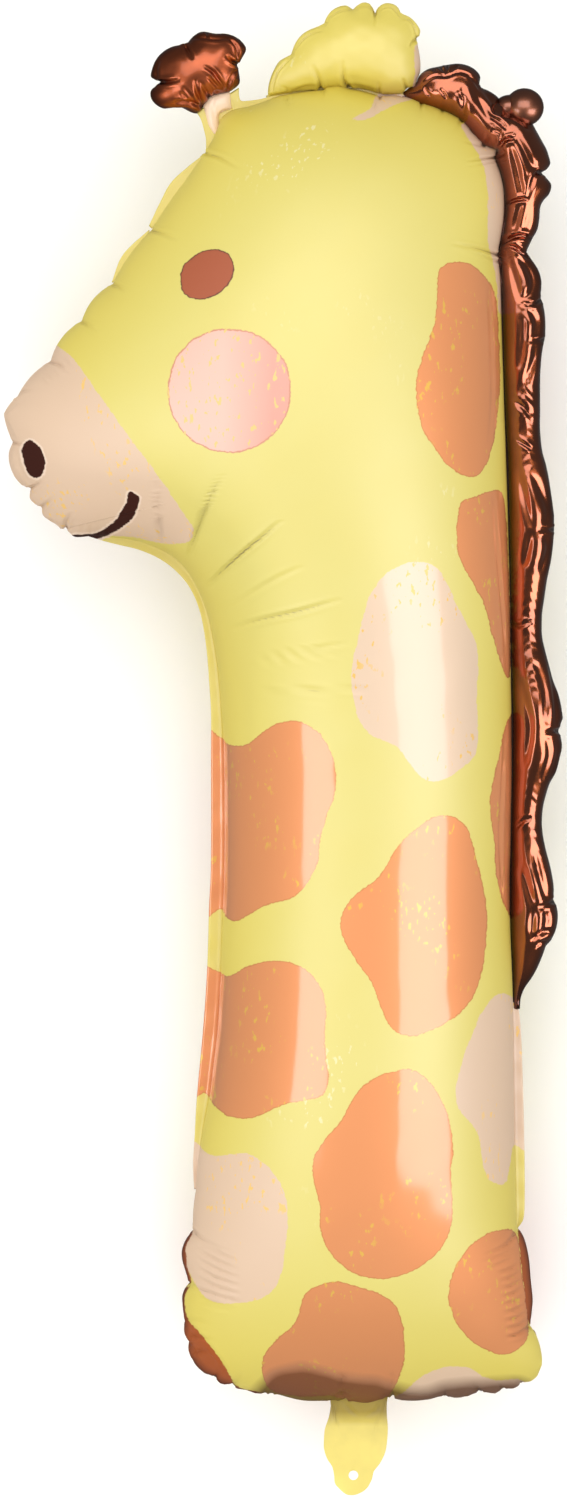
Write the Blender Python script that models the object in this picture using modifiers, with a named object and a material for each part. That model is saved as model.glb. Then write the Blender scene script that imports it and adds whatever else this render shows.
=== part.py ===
"""Giraffe foil balloon in the shape of a figure one, lying on its back.

The balloon is one envelope of foil: a front and a back sheet welded round the body, the ear,
the horn, the mane and the filling sleeve, with a flat welded rim outside the weld.
It is sealed, so it is one solid. +X runs from the muzzle to the mane, +Y from the sleeve
to the ear, and +Z from the back sheet, which lies on the floor, to the front sheet.
"""

import math

import bmesh
import bpy
import numpy as np
from mathutils import Vector
from mathutils.geometry import delaunay_2d_cdt

# Sizes in metres
LENGTH = 0.900  # from the top of the ear to the tip of the sleeve
WELD_THICKNESS = 0.0010  # the two films where they are welded together
SMOOTH_RIM = 0.0055  # width of the welded rim where the seam runs smooth
CRIMPED_RIM = 0.0012  # and where the seam puckers and the rim folds back
HOLE_DIAMETER = 0.0064  # punched hole in the sleeve, for a ribbon
HOLE_FROM_TIP = 0.0112
REST_DEPTH = 0.0025  # how far the back gives where it lies on the floor

# The outlines are drawn on a sheet whose X runs right and Y runs down, this many units long
SHEET_LENGTH = 1494.0
SHEET_TOP = 3.0
SLEEVE_X = 352.0
UNIT = LENGTH / SHEET_LENGTH

# Fineness of the mesh, in sheet units
ARC_STEP = 9.5  # along a pucker
SMOOTH_STEP = 21.0  # along a smooth seam
FIELD_STEP = 31.0  # between points in the middle of a sheet
RING_DEPTHS = (3.0, 9.5, 22.0)

YELLOW = (0.90, 0.80, 0.22, 1.0)

# An outline is a list of (x, y, bulge) in sheet units, either way round.
# A bulge is the height of the round pucker that ends at that point, as a share of its chord.
# S is a smooth seam through the point.
S = None

BODY = [
    (216, 131, S), (209, 154, 0.04), (152, 230, 0.085), (113, 284, 0.08), (82, 321, 0.11),
    (51, 361, 0.11), (18, 399, 0.08), (6, 415, 0.08), (14, 442, 0.02), (31, 488, 0.17),
    (43, 506, 0.14), (67, 525, 0.12), (96, 536, 0.11),
    (128, 537, S), (157, 544, S), (178, 558, S), (193, 582, S), (204, 615, S), (211, 655, S),
    (215, 705, S), (217, 770, S), (217, 860, S), (216, 930, S), (211, 1010, S), (204, 1090, S),
    (200, 1150, S), (197, 1190, 0.04), (196, 1229, 0.10), (192, 1281, 0.15), (190, 1320, 0.15),
    (194, 1338, 0.12), (198, 1354, 0.14), (215, 1374, 0.14), (234, 1381, 0.14), (257, 1390, 0.10),
    (273, 1390, 0.12), (305, 1398, 0.05), (342, 1397, 0.05), (391, 1396, 0.04), (440, 1396, 0.07),
    (479, 1391, 0.09), (503, 1387, 0.12), (520, 1383, 0.12), (535, 1367, 0.18), (528, 1327, 0.17),
    (517, 1230, 0.05), (516, 1150, S), (515, 1080, S), (513, 1010, S), (512, 930, S),
    (512, 820, S), (511, 720, S), (509, 610, S), (507, 510, S), (505, 420, S), (502, 340, S),
    (499, 300, S), (495, 256, S), (497, 156, 0.10), (478, 137, 0.06), (458, 117, 0.10),
    (421, 101, 0.10), (381, 97, 0.05), (336, 90, 0.04), (285, 94, 0.04), (262, 99, S),
    (240, 104, S), (224, 113, S),
]

EAR = [
    (277, 92, S), (270, 90, 0.05), (293, 58, 0.12), (325, 31, 0.22), (355, 11, 0.24),
    (376, 13, 0.36), (401, 20, 0.36), (415, 42, 0.28), (416, 88, 0.10),
    (408, 92, 0.10), (380, 92, 0.10), (350, 86, S), (336, 84, S), (300, 88, S),
]

HORN = [
    (206, 103, 0.10), (203, 112, 0.05), (196, 112, S), (175, 105, 0.04), (163, 84, 0.50),
    (186, 50, 0.37), (209, 39, 0.24), (241, 45, 0.14), (236, 65, 0.30), (236, 85, 0.08),
    (226, 93, 0.10), (231, 108, S), (240, 122, S), (222, 142, S), (212, 128, S),
]

MANE = [
    (405, 94, 0.0), (421, 103, 0.0), (458, 121, S), (476, 138, S), (490, 152, S), (501, 166, S),
    (507, 200, S), (503, 235, S), (501, 256, S), (504, 300, S), (507, 360, S), (511, 450, S),
    (514, 560, S), (516, 680, S), (517, 800, S), (517, 900, S), (516, 975, S), (518, 1003, S),
    (536, 966, 0.0), (545, 944, 0.03), (550, 903, 0.18), (553, 882, 0.10), (541, 820, -0.02),
    (550, 777, 0.02), (555, 733, 0.12), (560, 712, 0.10), (541, 620, -0.01), (551, 545, 0.02),
    (548, 527, 0.05), (541, 450, 0.03), (538, 380, -0.01), (543, 338, 0.05), (538, 301, 0.04),
    (525, 254, 0.18), (538, 210, 0.10), (540, 173, 0.28), (533, 126, 0.18), (507, 97, 0.50),
    (480, 85, 0.06), (451, 69, 0.20), (421, 82, 0.16),
]

SLEEVE = [
    (338, 1380, S), (338, 1412, S), (334, 1440, S), (342, 1458, S), (354, 1463, S),
    (366, 1458, S), (378, 1440, S), (376, 1412, S), (378, 1380, S),
]

# The flat end of the sleeve, outside its weld
SLEEVE_END = [
    (328, 1392, S), (329, 1412, S), (324, 1430, S), (325, 1450, S), (332, 1466, S), (334, 1480, S),
    (341, 1492, S), (352, 1497, S), (364, 1492, S), (371, 1480, S), (374, 1468, S), (384, 1456, S),
    (388, 1440, S), (387, 1412, S), (392, 1392, S),
]

# The flat web of film that carries the horn's stem
HORN_WEB = [
    (193, 113, S), (204, 132, S), (206, 152, S), (226, 150, S), (262, 118, S), (264, 98, S),
    (247, 99, S), (239, 96, S), (239, 89, S), (214, 104, S),
]

# Gaps in the weld that let air through from the body
EAR_CHANNEL = [(324, 78), (324, 100), (349, 100), (349, 78)]
MANE_CHANNEL = [(478, 146), (480, 158), (508, 156), (506, 144)]


def on_sheet(points):
    """Sheet units, Y down, to metres with Y up."""
    points = np.array([p[:2] for p in points], float)
    return np.column_stack([points[:, 0], SHEET_LENGTH + SHEET_TOP - points[:, 1]]) * UNIT


def smooth_between(before, start, end, after, step):
    """Points from start up to end on a Catmull-Rom curve."""
    count = max(1, round(np.linalg.norm(end - start) / step))
    t = (np.arange(count) / count)[:, None]
    return 0.5 * (
        2 * start
        + (end - before) * t
        + (2 * before - 5 * start + 4 * end - after) * t**2
        + (3 * start - before - 3 * end + after) * t**3
    )


def arc_between(start, end, bulge, step):
    """Points from start up to end on an arc that stands bulge times its chord proud, to the right."""
    chord = end - start
    length = np.linalg.norm(chord)
    count = max(2, math.ceil(length * (1 + 2 * bulge * bulge) / step))
    if bulge == 0:
        return start + chord * (np.arange(count) / count)[:, None]
    outward = np.array([chord[1], -chord[0]]) / length
    half_angle = 2 * math.atan(2 * bulge)
    radius = length / 2 / math.sin(half_angle)
    centre = (start + end) / 2 - outward * radius * math.cos(half_angle)
    turn = np.linspace(-half_angle, half_angle, count + 1)[:-1, None]
    return centre + radius * (outward * np.cos(turn) + chord / length * np.sin(turn))


def signed_area(loop):
    """The area inside a loop of points, negative when it runs clockwise."""
    ahead = np.roll(loop, -1, axis=0)
    return (loop[:, 0] * ahead[:, 1] - ahead[:, 0] * loop[:, 1]).sum() / 2


def traced(outline):
    """The outline as an anticlockwise row of points in metres, and which lie on a smooth seam."""
    corners = on_sheet(outline)
    side = math.copysign(1, signed_area(corners))
    bulges = [point[2] for point in outline]
    rows, smooth = [], []
    for i, start in enumerate(corners):
        after = (i + 1) % len(corners)
        end = corners[after]
        if bulges[after] is S:
            before = corners[i - 1] if bulges[i] is S else 2 * start - end
            beyond = corners[(i + 2) % len(corners)]
            if bulges[(i + 2) % len(corners)] is not S:
                beyond = 2 * end - start
            row = smooth_between(before, start, end, beyond, SMOOTH_STEP * UNIT)
        else:
            row = arc_between(start, end, side * bulges[after], ARC_STEP * UNIT)
        rows.append(row)
        smooth += [bulges[after] is S] * len(row)
    loop, smooth = np.concatenate(rows), np.array(smooth)
    return (loop, smooth) if side > 0 else (loop[::-1], smooth[::-1])


def outward_normals(loop):
    """Unit normals of an anticlockwise loop of points."""
    along = np.roll(loop, -1, axis=0) - np.roll(loop, 1, axis=0)
    along /= np.linalg.norm(along, axis=1)[:, None]
    return np.column_stack([along[:, 1], -along[:, 0]])


def skirt(loop, smooth):
    """The welded rim's outer edge: the weld moved outward by the rim's width there."""
    width = np.where(smooth, SMOOTH_RIM, CRIMPED_RIM)
    for _ in range(3):
        width = (np.roll(width, 1) + 2 * width + np.roll(width, -1)) / 4
    return loop + outward_normals(loop) * width[:, None]


def signed_depth(points, loop):
    """How far each point lies inside a closed loop, negative outside."""
    ends = np.roll(loop, -1, axis=0)
    along = ends - loop
    rel = points[:, None, :] - loop[None, :, :]
    share = (rel * along).sum(2) / np.maximum((along**2).sum(1), 1e-18)
    gap = rel - np.clip(share, 0, 1)[:, :, None] * along
    distance = np.sqrt((gap**2).sum(2).min(axis=1))
    up = (loop[None, :, 1] <= points[:, None, 1]) & (ends[None, :, 1] > points[:, None, 1])
    down = (loop[None, :, 1] > points[:, None, 1]) & (ends[None, :, 1] <= points[:, None, 1])
    side = along[:, 0] * rel[:, :, 1] - along[:, 1] * rel[:, :, 0]
    winding = (up & (side > 0)).sum(1) - (down & (side < 0)).sum(1)
    return np.where(winding != 0, distance, -distance)


def deepest(points, loops):
    """How far each point lies inside the loop that holds it best."""
    return np.max([signed_depth(points, loop) for loop in loops], axis=0)


def inner_points(chambers):
    """Rings of points just inside each weld, and a triangular field of points in the middle."""
    kept = []
    for loop in chambers:
        for ring, depth in enumerate(RING_DEPTHS):
            row = (loop - outward_normals(loop) * depth * UNIT)[:: ring + 1]
            kept.append(row[signed_depth(row, loop) > 0.85 * depth * UNIT])
    low = np.min([loop.min(axis=0) for loop in chambers], axis=0)
    high = np.max([loop.max(axis=0) for loop in chambers], axis=0)
    step = FIELD_STEP * UNIT
    rise = step * math.sqrt(3) / 2
    rows, columns = np.mgrid[0 : math.ceil((high - low)[1] / rise), 0 : math.ceil((high - low)[0] / step)]
    field = np.column_stack([
        low[0] + (columns + 0.5 * (rows % 2)).ravel() * step,
        low[1] + rows.ravel() * rise,
    ])
    kept.append(field[deepest(field, chambers) > (RING_DEPTHS[-1] + 0.45 * FIELD_STEP) * UNIT])
    return np.concatenate(kept)


def triangulated(loops, loose_points):
    """A Delaunay mesh through all the points that keeps every loop's edges."""
    points, edges = [], []
    for loop in loops:
        first = len(points)
        points += [Vector(p) for p in loop]
        edges += [(first + i, first + (i + 1) % len(loop)) for i in range(len(loop))]
    points += [Vector(p) for p in loose_points]
    found = delaunay_2d_cdt(points, edges, [], 0, 1e-6)
    return np.array([tuple(p) for p in found[0]]), np.array([tuple(f) for f in found[2]])


def inflated(points, triangles, free):
    """The height of each point when the film is blown up.

    A film held at its weld takes a height u with a Laplacian of -1, and sqrt(2 u) is then
    a half circle across a long tube and a flattened dome over a round patch, as on a real
    foil balloon. u is found on the triangles by conjugate gradients.
    """
    a, b, c = (points[triangles[:, k]] for k in range(3))
    sides = [c - b, a - c, b - a]
    doubled = np.abs(sides[2][:, 0] * -sides[1][:, 1] + sides[2][:, 1] * sides[1][:, 0])
    doubled = np.maximum(doubled, 1e-14)
    count = len(points)

    def stiffness(u):
        slope = sum(u[triangles[:, k]][:, None] * sides[k] for k in range(3))
        return sum(
            np.bincount(triangles[:, k], (slope * sides[k]).sum(1) / doubled / 2, count)
            for k in range(3)
        )

    load = sum(np.bincount(triangles[:, k], doubled / 6, count) for k in range(3)) * free
    u, left = np.zeros(count), load.copy()
    step = left.copy()
    for _ in range(2500):
        push = stiffness(step) * free
        share = (left @ left) / (step @ push)
        u += share * step
        fresh = left - share * push
        if np.linalg.norm(fresh) < 1e-7 * np.linalg.norm(load):
            break
        step = fresh + (fresh @ fresh) / (left @ left) * step
        left = fresh
    return np.sqrt(2 * np.maximum(u, 0))


def plan():
    """The whole envelope seen from the front: points, triangles and the height of each point."""
    chambers, skirts = [], []
    for outline in (BODY, EAR, HORN, MANE):
        loop, smooth = traced(outline)
        chambers.append(loop)
        skirts.append(skirt(loop, smooth))
    chambers.append(traced(SLEEVE)[0])
    skirts += [traced(SLEEVE_END)[0], traced(HORN_WEB)[0]]
    channels = [on_sheet(EAR_CHANNEL), on_sheet(MANE_CHANNEL)]
    turn = np.linspace(0, 2 * math.pi, 24, endpoint=False)
    hole_centre = on_sheet([(SLEEVE_X, SHEET_LENGTH + SHEET_TOP)])[0] + [0, HOLE_FROM_TIP]
    hole = hole_centre + HOLE_DIAMETER / 2 * np.column_stack([np.cos(turn), np.sin(turn)])

    points, triangles = triangulated(chambers + skirts + channels + [hole], inner_points(chambers))
    middles = points[triangles].mean(axis=1)
    film = (deepest(middles, skirts + chambers) > 0) & (signed_depth(middles, hole) < 0)
    triangles = triangles[film]
    used, triangles = np.unique(triangles, return_inverse=True)
    points, triangles = points[used], triangles.reshape(-1, 3)
    free = deepest(points, chambers + channels) > 0.1 * RING_DEPTHS[0] * UNIT  # nearer is on a weld
    return points, triangles, inflated(points, triangles, free)


def resting(points, triangles, height):
    """The slope and height of the seam's plane when the back lies on the floor.

    The head is fuller than the column, so the back touches down at the head and near the
    bottom of the column, and the plane between them slopes up to the head.
    """
    a, b, c = (points[triangles[:, k]] for k in range(3))
    area = (b - a)[:, 0] * (c - a)[:, 1] - (b - a)[:, 1] * (c - a)[:, 0]
    volume = np.abs(area) * height[triangles].mean(axis=1)
    balance = (volume * points[triangles][:, :, 1].mean(axis=1)).sum() / volume.sum()
    slopes = np.linspace(-0.1, 0.1, 401)
    from_balance = points[:, 1] - balance
    reach = (WELD_THICKNESS / 2 + height[:, None] - from_balance[:, None] * slopes).max(axis=0)
    slope = slopes[reach.argmin()]
    return slope, reach.min() - slope * balance


def front_half(points, triangles, height):
    """The front sheet, with a wall from its edge down to the plane of the weld."""
    mesh = bmesh.new()
    z = WELD_THICKNESS / 2 + height
    corners = [mesh.verts.new((x, y, up)) for (x, y), up in zip(points, z)]
    for triangle in triangles:
        mesh.faces.new([corners[i] for i in triangle])
    bmesh.ops.recalc_face_normals(mesh, faces=mesh.faces)
    mesh.normal_update()
    if sum(face.normal.z for face in mesh.faces) < 0:
        bmesh.ops.reverse_faces(mesh, faces=mesh.faces)
    rim = [edge for edge in mesh.edges if edge.is_boundary]
    wall = bmesh.ops.extrude_edge_only(mesh, edges=rim)["geom"]
    for corner in wall:
        if isinstance(corner, bmesh.types.BMVert):
            corner.co.z = 0
    bmesh.ops.recalc_face_normals(mesh, faces=mesh.faces)
    data = bpy.data.meshes.new("giraffe_balloon")
    mesh.to_mesh(data)
    mesh.free()
    return data


def foil_material():
    material = bpy.data.materials.new("yellow_foil")
    material.use_nodes = True
    shader = material.node_tree.nodes["Principled BSDF"]
    shader.inputs["Base Color"].default_value = YELLOW
    shader.inputs["Roughness"].default_value = 0.32
    shader.inputs["Metallic"].default_value = 0.35
    return material


def new_collection(name):
    collection = bpy.data.collections.new(name)
    bpy.context.scene.collection.children.link(collection)
    return collection


def build():
    for old in list(bpy.data.objects):
        bpy.data.objects.remove(old)
    parts, cutters = new_collection("giraffe_foil_balloon"), new_collection("cutters")
    points, triangles, height = plan()
    middle = (points.min(axis=0) + points.max(axis=0)) / 2
    points = points - middle
    slope, reach = resting(points, triangles, height)

    balloon = bpy.data.objects.new("giraffe_balloon", front_half(points, triangles, height))
    balloon.data.materials.append(foil_material())
    balloon.rotation_euler.x = math.atan(slope)
    balloon.location.z = reach * math.cos(math.atan(slope)) - REST_DEPTH
    parts.objects.link(balloon)
    mirror = balloon.modifiers.new("back_sheet", "MIRROR")
    mirror.use_axis = (False, False, True)
    mirror.merge_threshold = 0.00001

    # The floor presses the back flat where the balloon lies on it
    floor = bpy.data.meshes.new("floor_cut")
    block = bmesh.new()
    bmesh.ops.create_cube(block, size=2 * LENGTH)
    bmesh.ops.translate(block, verts=block.verts, vec=(0, 0, -LENGTH))
    block.to_mesh(floor)
    block.free()
    floor = bpy.data.objects.new("floor_cut", floor)
    floor.hide_render = True
    floor.display_type = "WIRE"
    cutters.objects.link(floor)
    lie = balloon.modifiers.new("lies_on_floor", "BOOLEAN")
    lie.operation = "DIFFERENCE"
    lie.object = floor

    balloon.data.shade_smooth()
    balloon.data.set_sharp_from_angle(angle=math.radians(50))


build()
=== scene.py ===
import math

import bmesh
import bpy
import numpy as np
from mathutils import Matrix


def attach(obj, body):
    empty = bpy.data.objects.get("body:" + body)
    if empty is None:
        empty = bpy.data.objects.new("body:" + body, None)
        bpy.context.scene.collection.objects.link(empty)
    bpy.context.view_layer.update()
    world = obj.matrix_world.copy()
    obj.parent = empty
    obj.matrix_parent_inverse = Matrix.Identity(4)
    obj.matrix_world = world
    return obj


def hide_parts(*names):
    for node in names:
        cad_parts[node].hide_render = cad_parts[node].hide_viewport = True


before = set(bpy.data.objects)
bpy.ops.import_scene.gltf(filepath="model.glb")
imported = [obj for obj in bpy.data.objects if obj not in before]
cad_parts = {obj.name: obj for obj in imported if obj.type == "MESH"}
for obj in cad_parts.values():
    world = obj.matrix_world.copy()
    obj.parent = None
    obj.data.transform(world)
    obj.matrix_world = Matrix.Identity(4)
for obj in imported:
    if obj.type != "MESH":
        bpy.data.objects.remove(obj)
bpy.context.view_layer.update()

# Every outline below is drawn on one sheet: x to the right, y down, one unit is about 0.6 mm
sheet = {
    "unit": 0.9 / 1494,             # metres in a sheet unit
    "middle": (283.104, 750.034),   # the sheet's point over the frame's origin
    "slope": 0.040977,              # radians by which the seam's plane rises to the head
    "seamHeight": 0.098085,         # height of that plane over the origin
    "cameraDistance": 12.0,         # from the seam's plane
    "frameSize": (567, 1500),       # width and height of the picture, in sheet units
}


def placed(x, y, height):
    # a sheet point and a height in units over the seam's plane, to metres, turned up by the slope
    unit = sheet["unit"]
    across = (x - sheet["middle"][0]) * unit
    ahead = (sheet["middle"][1] - y) * unit
    up = height * unit
    c, s = math.cos(sheet["slope"]), math.sin(sheet["slope"])
    return np.stack([across, ahead * c - up * s, sheet["seamHeight"] + ahead * s + up * c], axis=-1)


def seenFromAbove(points):
    # the sheet point that the camera sees each point at: its offset from the axis over its distance
    depth = sheet["cameraDistance"] / (sheet["cameraDistance"] + sheet["seamHeight"] - points[..., 2])
    return (sheet["middle"][0] + points[..., 0] * depth / sheet["unit"],
            sheet["middle"][1] - points[..., 1] * depth / sheet["unit"])


def throughPoints(points, step=4.0, closed=False):
    # Catmull-Rom curve: the cubic through each pair of points whose ends lean along their neighbours
    p = np.array(points, float)
    p = np.vstack([p[-1], p, p[:2]]) if closed else np.vstack([2 * p[0] - p[1], p, 2 * p[-1] - p[-2]])
    rows = []
    for a, b, c, d in zip(p[:-3], p[1:-2], p[2:-1], p[3:]):
        count = max(2, int(np.linalg.norm(c - b) / step))
        t = (np.arange(count) / count)[:, None]
        rows.append(0.5 * (2 * b + (c - a) * t + (2 * a - 5 * b + 4 * c - d) * t**2
                           + (3 * b - a - 3 * c + d) * t**3))
    return np.vstack(rows) if closed else np.vstack(rows + [p[-2]])


def puckered(points, side, step=1.5):
    # open side of a chamber, run from the left or from the top. A third value of a point is the
    # height of the pucker that ends there, a parabola over its chord, as a share of that chord.
    # Without one the seam is smooth, a Catmull-Rom curve
    p = np.array([q[:2] for q in points], float)
    bulges = [q[2] if len(q) > 2 else None for q in points]
    outward = -1 if side in ("left", "bottom") else 1
    rows = []
    for i in range(len(p) - 1):
        a, b, bulge = p[i], p[i + 1], bulges[i + 1]
        length = np.linalg.norm(b - a)
        t = np.linspace(0, 1, max(3, int(length / step)), endpoint=False)[:, None]
        if bulge is None:
            before = p[i - 1] if i and bulges[i] is None else 2 * a - b
            after = p[i + 2] if i + 2 < len(p) and bulges[i + 2] is None else 2 * b - a
            rows.append(0.5 * (2 * a + (b - before) * t + (2 * before - 5 * a + 4 * b - after) * t**2
                               + (3 * a - before - 3 * b + after) * t**3))
        else:
            out = outward * np.array([b[1] - a[1], a[0] - b[0]])
            rows.append(a + (b - a) * t + out * bulge * 4 * t * (1 - t))
    return np.vstack(rows + [p[-1]])


def runLength(path):
    return np.concatenate([[0], np.cumsum(np.linalg.norm(np.diff(path, axis=0), axis=1))])


def pointAt(path, lengths):
    run = runLength(path)
    return np.stack([np.interp(lengths, run, path[:, 0]), np.interp(lengths, run, path[:, 1])], axis=-1)


def lengthNear(path, point):
    return runLength(path)[np.argmin(np.linalg.norm(path - np.array(point, float), axis=1))]


def chamberGrid(piece):
    # rows run straight from the left side to the right, paired by the keys, and near the ends they
    # bow to the top and bottom sides: ruled surface plus each end's bow, faded by the square
    side = {name: puckered(piece[name], name) for name in ("left", "top", "right", "bottom")}
    gap = np.arange(piece["rows"] - 1)
    gap = np.minimum(np.minimum(gap, gap[::-1]) / 16 + 0.05, 1)    # rows close up to both ends
    row = np.concatenate([[0], np.cumsum(gap)]) / gap.sum()
    total = piece["keys"][-1][0]
    keyRows = [key[0] / total for key in piece["keys"]]
    leftKeys = [lengthNear(side["left"], key[1]) for key in piece["keys"]]
    rightKeys = [lengthNear(side["right"], key[2]) for key in piece["keys"]]
    left = pointAt(side["left"], np.interp(row, keyRows, leftKeys))
    right = pointAt(side["right"], np.interp(row, keyRows, rightKeys))
    t = np.linspace(0, 1, piece["across"])
    across = 0.25 * t + 0.75 * (0.5 - 0.5 * np.cos(np.pi * t))      # columns close up as a circle's do
    top = pointAt(side["top"], across * runLength(side["top"])[-1])
    bottom = pointAt(side["bottom"], across * runLength(side["bottom"])[-1])
    s = across[None, :, None]
    v = np.linspace(0, 1, len(left))[:, None, None]
    ruled = left[:, None, :] * (1 - s) + right[:, None, :] * s
    near, far = np.clip(1 - v / 0.3, 0, 1)**2, np.clip(1 - (1 - v) / 0.3, 0, 1)**2
    grid = ruled + near * (top[None] - ruled[:1]) + far * (bottom[None] - ruled[-1:])
    return grid[..., 0], grid[..., 1]


def inflated(x, y, rounds=2500):
    # blown-up height: u has a Laplacian of -1 and is 0 along the outline, and the height is
    # sqrt(2u), a half circle over a tube and a flattened dome over a round patch. It is solved by
    # finite elements on the grid's triangles, with conjugate gradients
    def corner(di, dj):
        return (x[di:di + x.shape[0] - 1, dj:dj + x.shape[1] - 1],
                y[di:di + x.shape[0] - 1, dj:dj + x.shape[1] - 1])

    def halfCotangent(apex, p, q):
        ax, ay, bx, by = p[0] - apex[0], p[1] - apex[1], q[0] - apex[0], q[1] - apex[1]
        area = np.abs(ax * by - ay * bx)
        return (ax * bx + ay * by) / np.maximum(area, 1e-4) / 2, area

    a, b, c, d = corner(0, 0), corner(1, 0), corner(1, 1), corner(0, 1)
    along, down, cornerwise, load = (np.zeros_like(x) for _ in range(4))
    down[:-1, :-1] += halfCotangent(c, a, b)[0]
    down[:-1, 1:] += halfCotangent(a, c, d)[0]
    along[1:, :-1] += halfCotangent(a, b, c)[0]
    along[:-1, :-1] += halfCotangent(c, a, d)[0]
    fromB, lowerArea = halfCotangent(b, a, c)
    fromD, upperArea = halfCotangent(d, a, c)
    cornerwise[:-1, :-1] += fromB + fromD
    thirds = ((lowerArea / 6, ((0, 0), (1, 0), (1, 1))), (upperArea / 6, ((0, 0), (1, 1), (0, 1))))
    for area, corners in thirds:
        for i, j in corners:
            load[i:i + area.shape[0], j:j + area.shape[1]] += area
    along, down, cornerwise = along[:, :-1], down[:-1, :], cornerwise[:-1, :-1]
    free = np.zeros(x.shape, bool)
    free[1:-1, 1:-1] = True
    whole, low, high = slice(None), slice(None, -1), slice(1, None)
    links = [(along, (whole, low), (whole, high)), (down, (low, whole), (high, whole)),
             (cornerwise, (low, low), (high, high))]

    def stiffness(u):
        out = np.zeros_like(u)
        for strength, here, there in links:
            pull = strength * (u[here] - u[there])
            out[here] += pull
            out[there] -= pull
        return out * free

    weight = np.zeros_like(x)
    for strength, here, there in links:
        weight[here] += strength
        weight[there] += strength
    weight = np.maximum(np.abs(weight), 1e-6)
    u, left = np.zeros_like(x), load * free
    eased = left / weight
    step, mass = eased.copy(), (left * eased).sum()
    goal = mass * 1e-9
    for _ in range(rounds):
        push = stiffness(step)
        share = mass / (step * push).sum()
        u += share * step
        left -= share * push
        eased = left / weight
        fresh = (left * eased).sum()
        if fresh < goal:
            break
        step = eased + fresh / mass * step
        mass = fresh
    return np.sqrt(2 * np.maximum(u, 0))


def nearest(x, y, line):
    # distance to an open line of points, and the share of its length at the nearest place
    run = runLength(line)
    best, place = np.full(x.shape, 1e9), np.zeros(x.shape)
    for a, b, start, end in zip(line[:-1], line[1:], run[:-1], run[1:]):
        d = b - a
        t = np.clip(((x - a[0]) * d[0] + (y - a[1]) * d[1]) / max(d @ d, 1e-9), 0, 1)
        gap = (x - a[0] - t * d[0])**2 + (y - a[1] - t * d[1])**2
        closer = gap < best
        best = np.where(closer, gap, best)
        place = np.where(closer, (start + t * (end - start)) / run[-1], place)
    return np.sqrt(best), place


def folded(x, y, creases):
    # sum of creases: each is a bell-shaped dip of its depth and width along its line, between two
    # low rolls, and fades to its far end, or to both
    total = np.zeros_like(x)
    for fade, rows in creases.items():
        for depth, width, *line in rows:
            line = throughPoints(line, 3)
            low, high = line.min(axis=0) - 6 * width, line.max(axis=0) + 6 * width
            part = (x > low[0]) & (x < high[0]) & (y > low[1]) & (y < high[1])
            if part.any():
                gap, place = nearest(x[part], y[part], line)
                strength = np.sin(np.pi * place)**0.6 if fade == "both" else (1 - place)**0.7
                roll = 0.35 * np.exp(-((gap - 2.3 * width) / (1.2 * width))**2)
                total[part] += depth * strength * (roll - np.exp(-(gap / width)**2))
    return total


def insideOf(x, y, ring):
    # signed distance to a closed ring of points, positive inside it, at most 30
    ahead = np.roll(ring, -1, axis=0)
    low, high = ring.min(axis=0) - 30, ring.max(axis=0) + 30
    out = np.full(x.shape, -30.0)
    part = (x > low[0]) & (x < high[0]) & (y > low[1]) & (y < high[1])
    px, py = x[part], y[part]
    best, inside = np.full(px.shape, 1e9), np.zeros(px.shape, bool)
    for (ax, ay), (bx, by) in zip(ring, ahead):
        ex, ey = bx - ax, by - ay
        t = np.clip(((px - ax) * ex + (py - ay) * ey) / max(ex * ex + ey * ey, 1e-9), 0, 1)
        best = np.minimum(best, (px - ax - t * ex)**2 + (py - ay - t * ey)**2)
        if ay != by:
            inside ^= ((ay > py) != (by > py)) & (px < ex * (py - ay) / ey + ax)
    out[part] = np.where(inside, 1, -1) * np.minimum(np.sqrt(best), 30)
    return out


def facing(points, side):
    # unit normals of a grid, the cross product of its two directions, turned up (1) or down (-1)
    n = np.cross(np.gradient(points, axis=1), np.gradient(points, axis=0))
    n /= np.maximum(np.linalg.norm(n, axis=-1, keepdims=True), 1e-12)
    return n * np.sign(n[..., 2].mean() * side)


def rippled(x, y, seed, wave, count=7):
    # soft noise from -1 to 1: sine waves of about one length in seeded directions, averaged
    rng = np.random.default_rng(seed)
    total = np.zeros(np.broadcast(x, y).shape)
    for turn, phase, stretch in zip(rng.uniform(0, np.pi, count), rng.uniform(0, 6.28, count),
                                    rng.uniform(0.7, 1.5, count)):
        total += np.sin((x * math.cos(turn) + y * math.sin(turn)) * 6.283 / (wave * stretch) + phase)
    return total / count**0.5 / 1.4


def crumpled(x, y, seed, wave, lean, spread, count=5):
    # sharp-edged facets: triangle waves across one direction, each bent by soft noise
    rng = np.random.default_rng(seed)
    total = np.zeros_like(x)
    for k in range(count):
        turn = lean + rng.uniform(-spread, spread)
        length = wave * rng.uniform(0.6, 1.7)
        way = (x * math.cos(turn) + y * math.sin(turn)) / length + rng.uniform(0, 9)
        way += 0.35 * rippled(x, y, seed * 31 + k, 3.2 * wave)
        total += (2 * np.abs(2 * (way - np.floor(way + 0.5))) - 1) * length / wave
    return total / count


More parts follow.
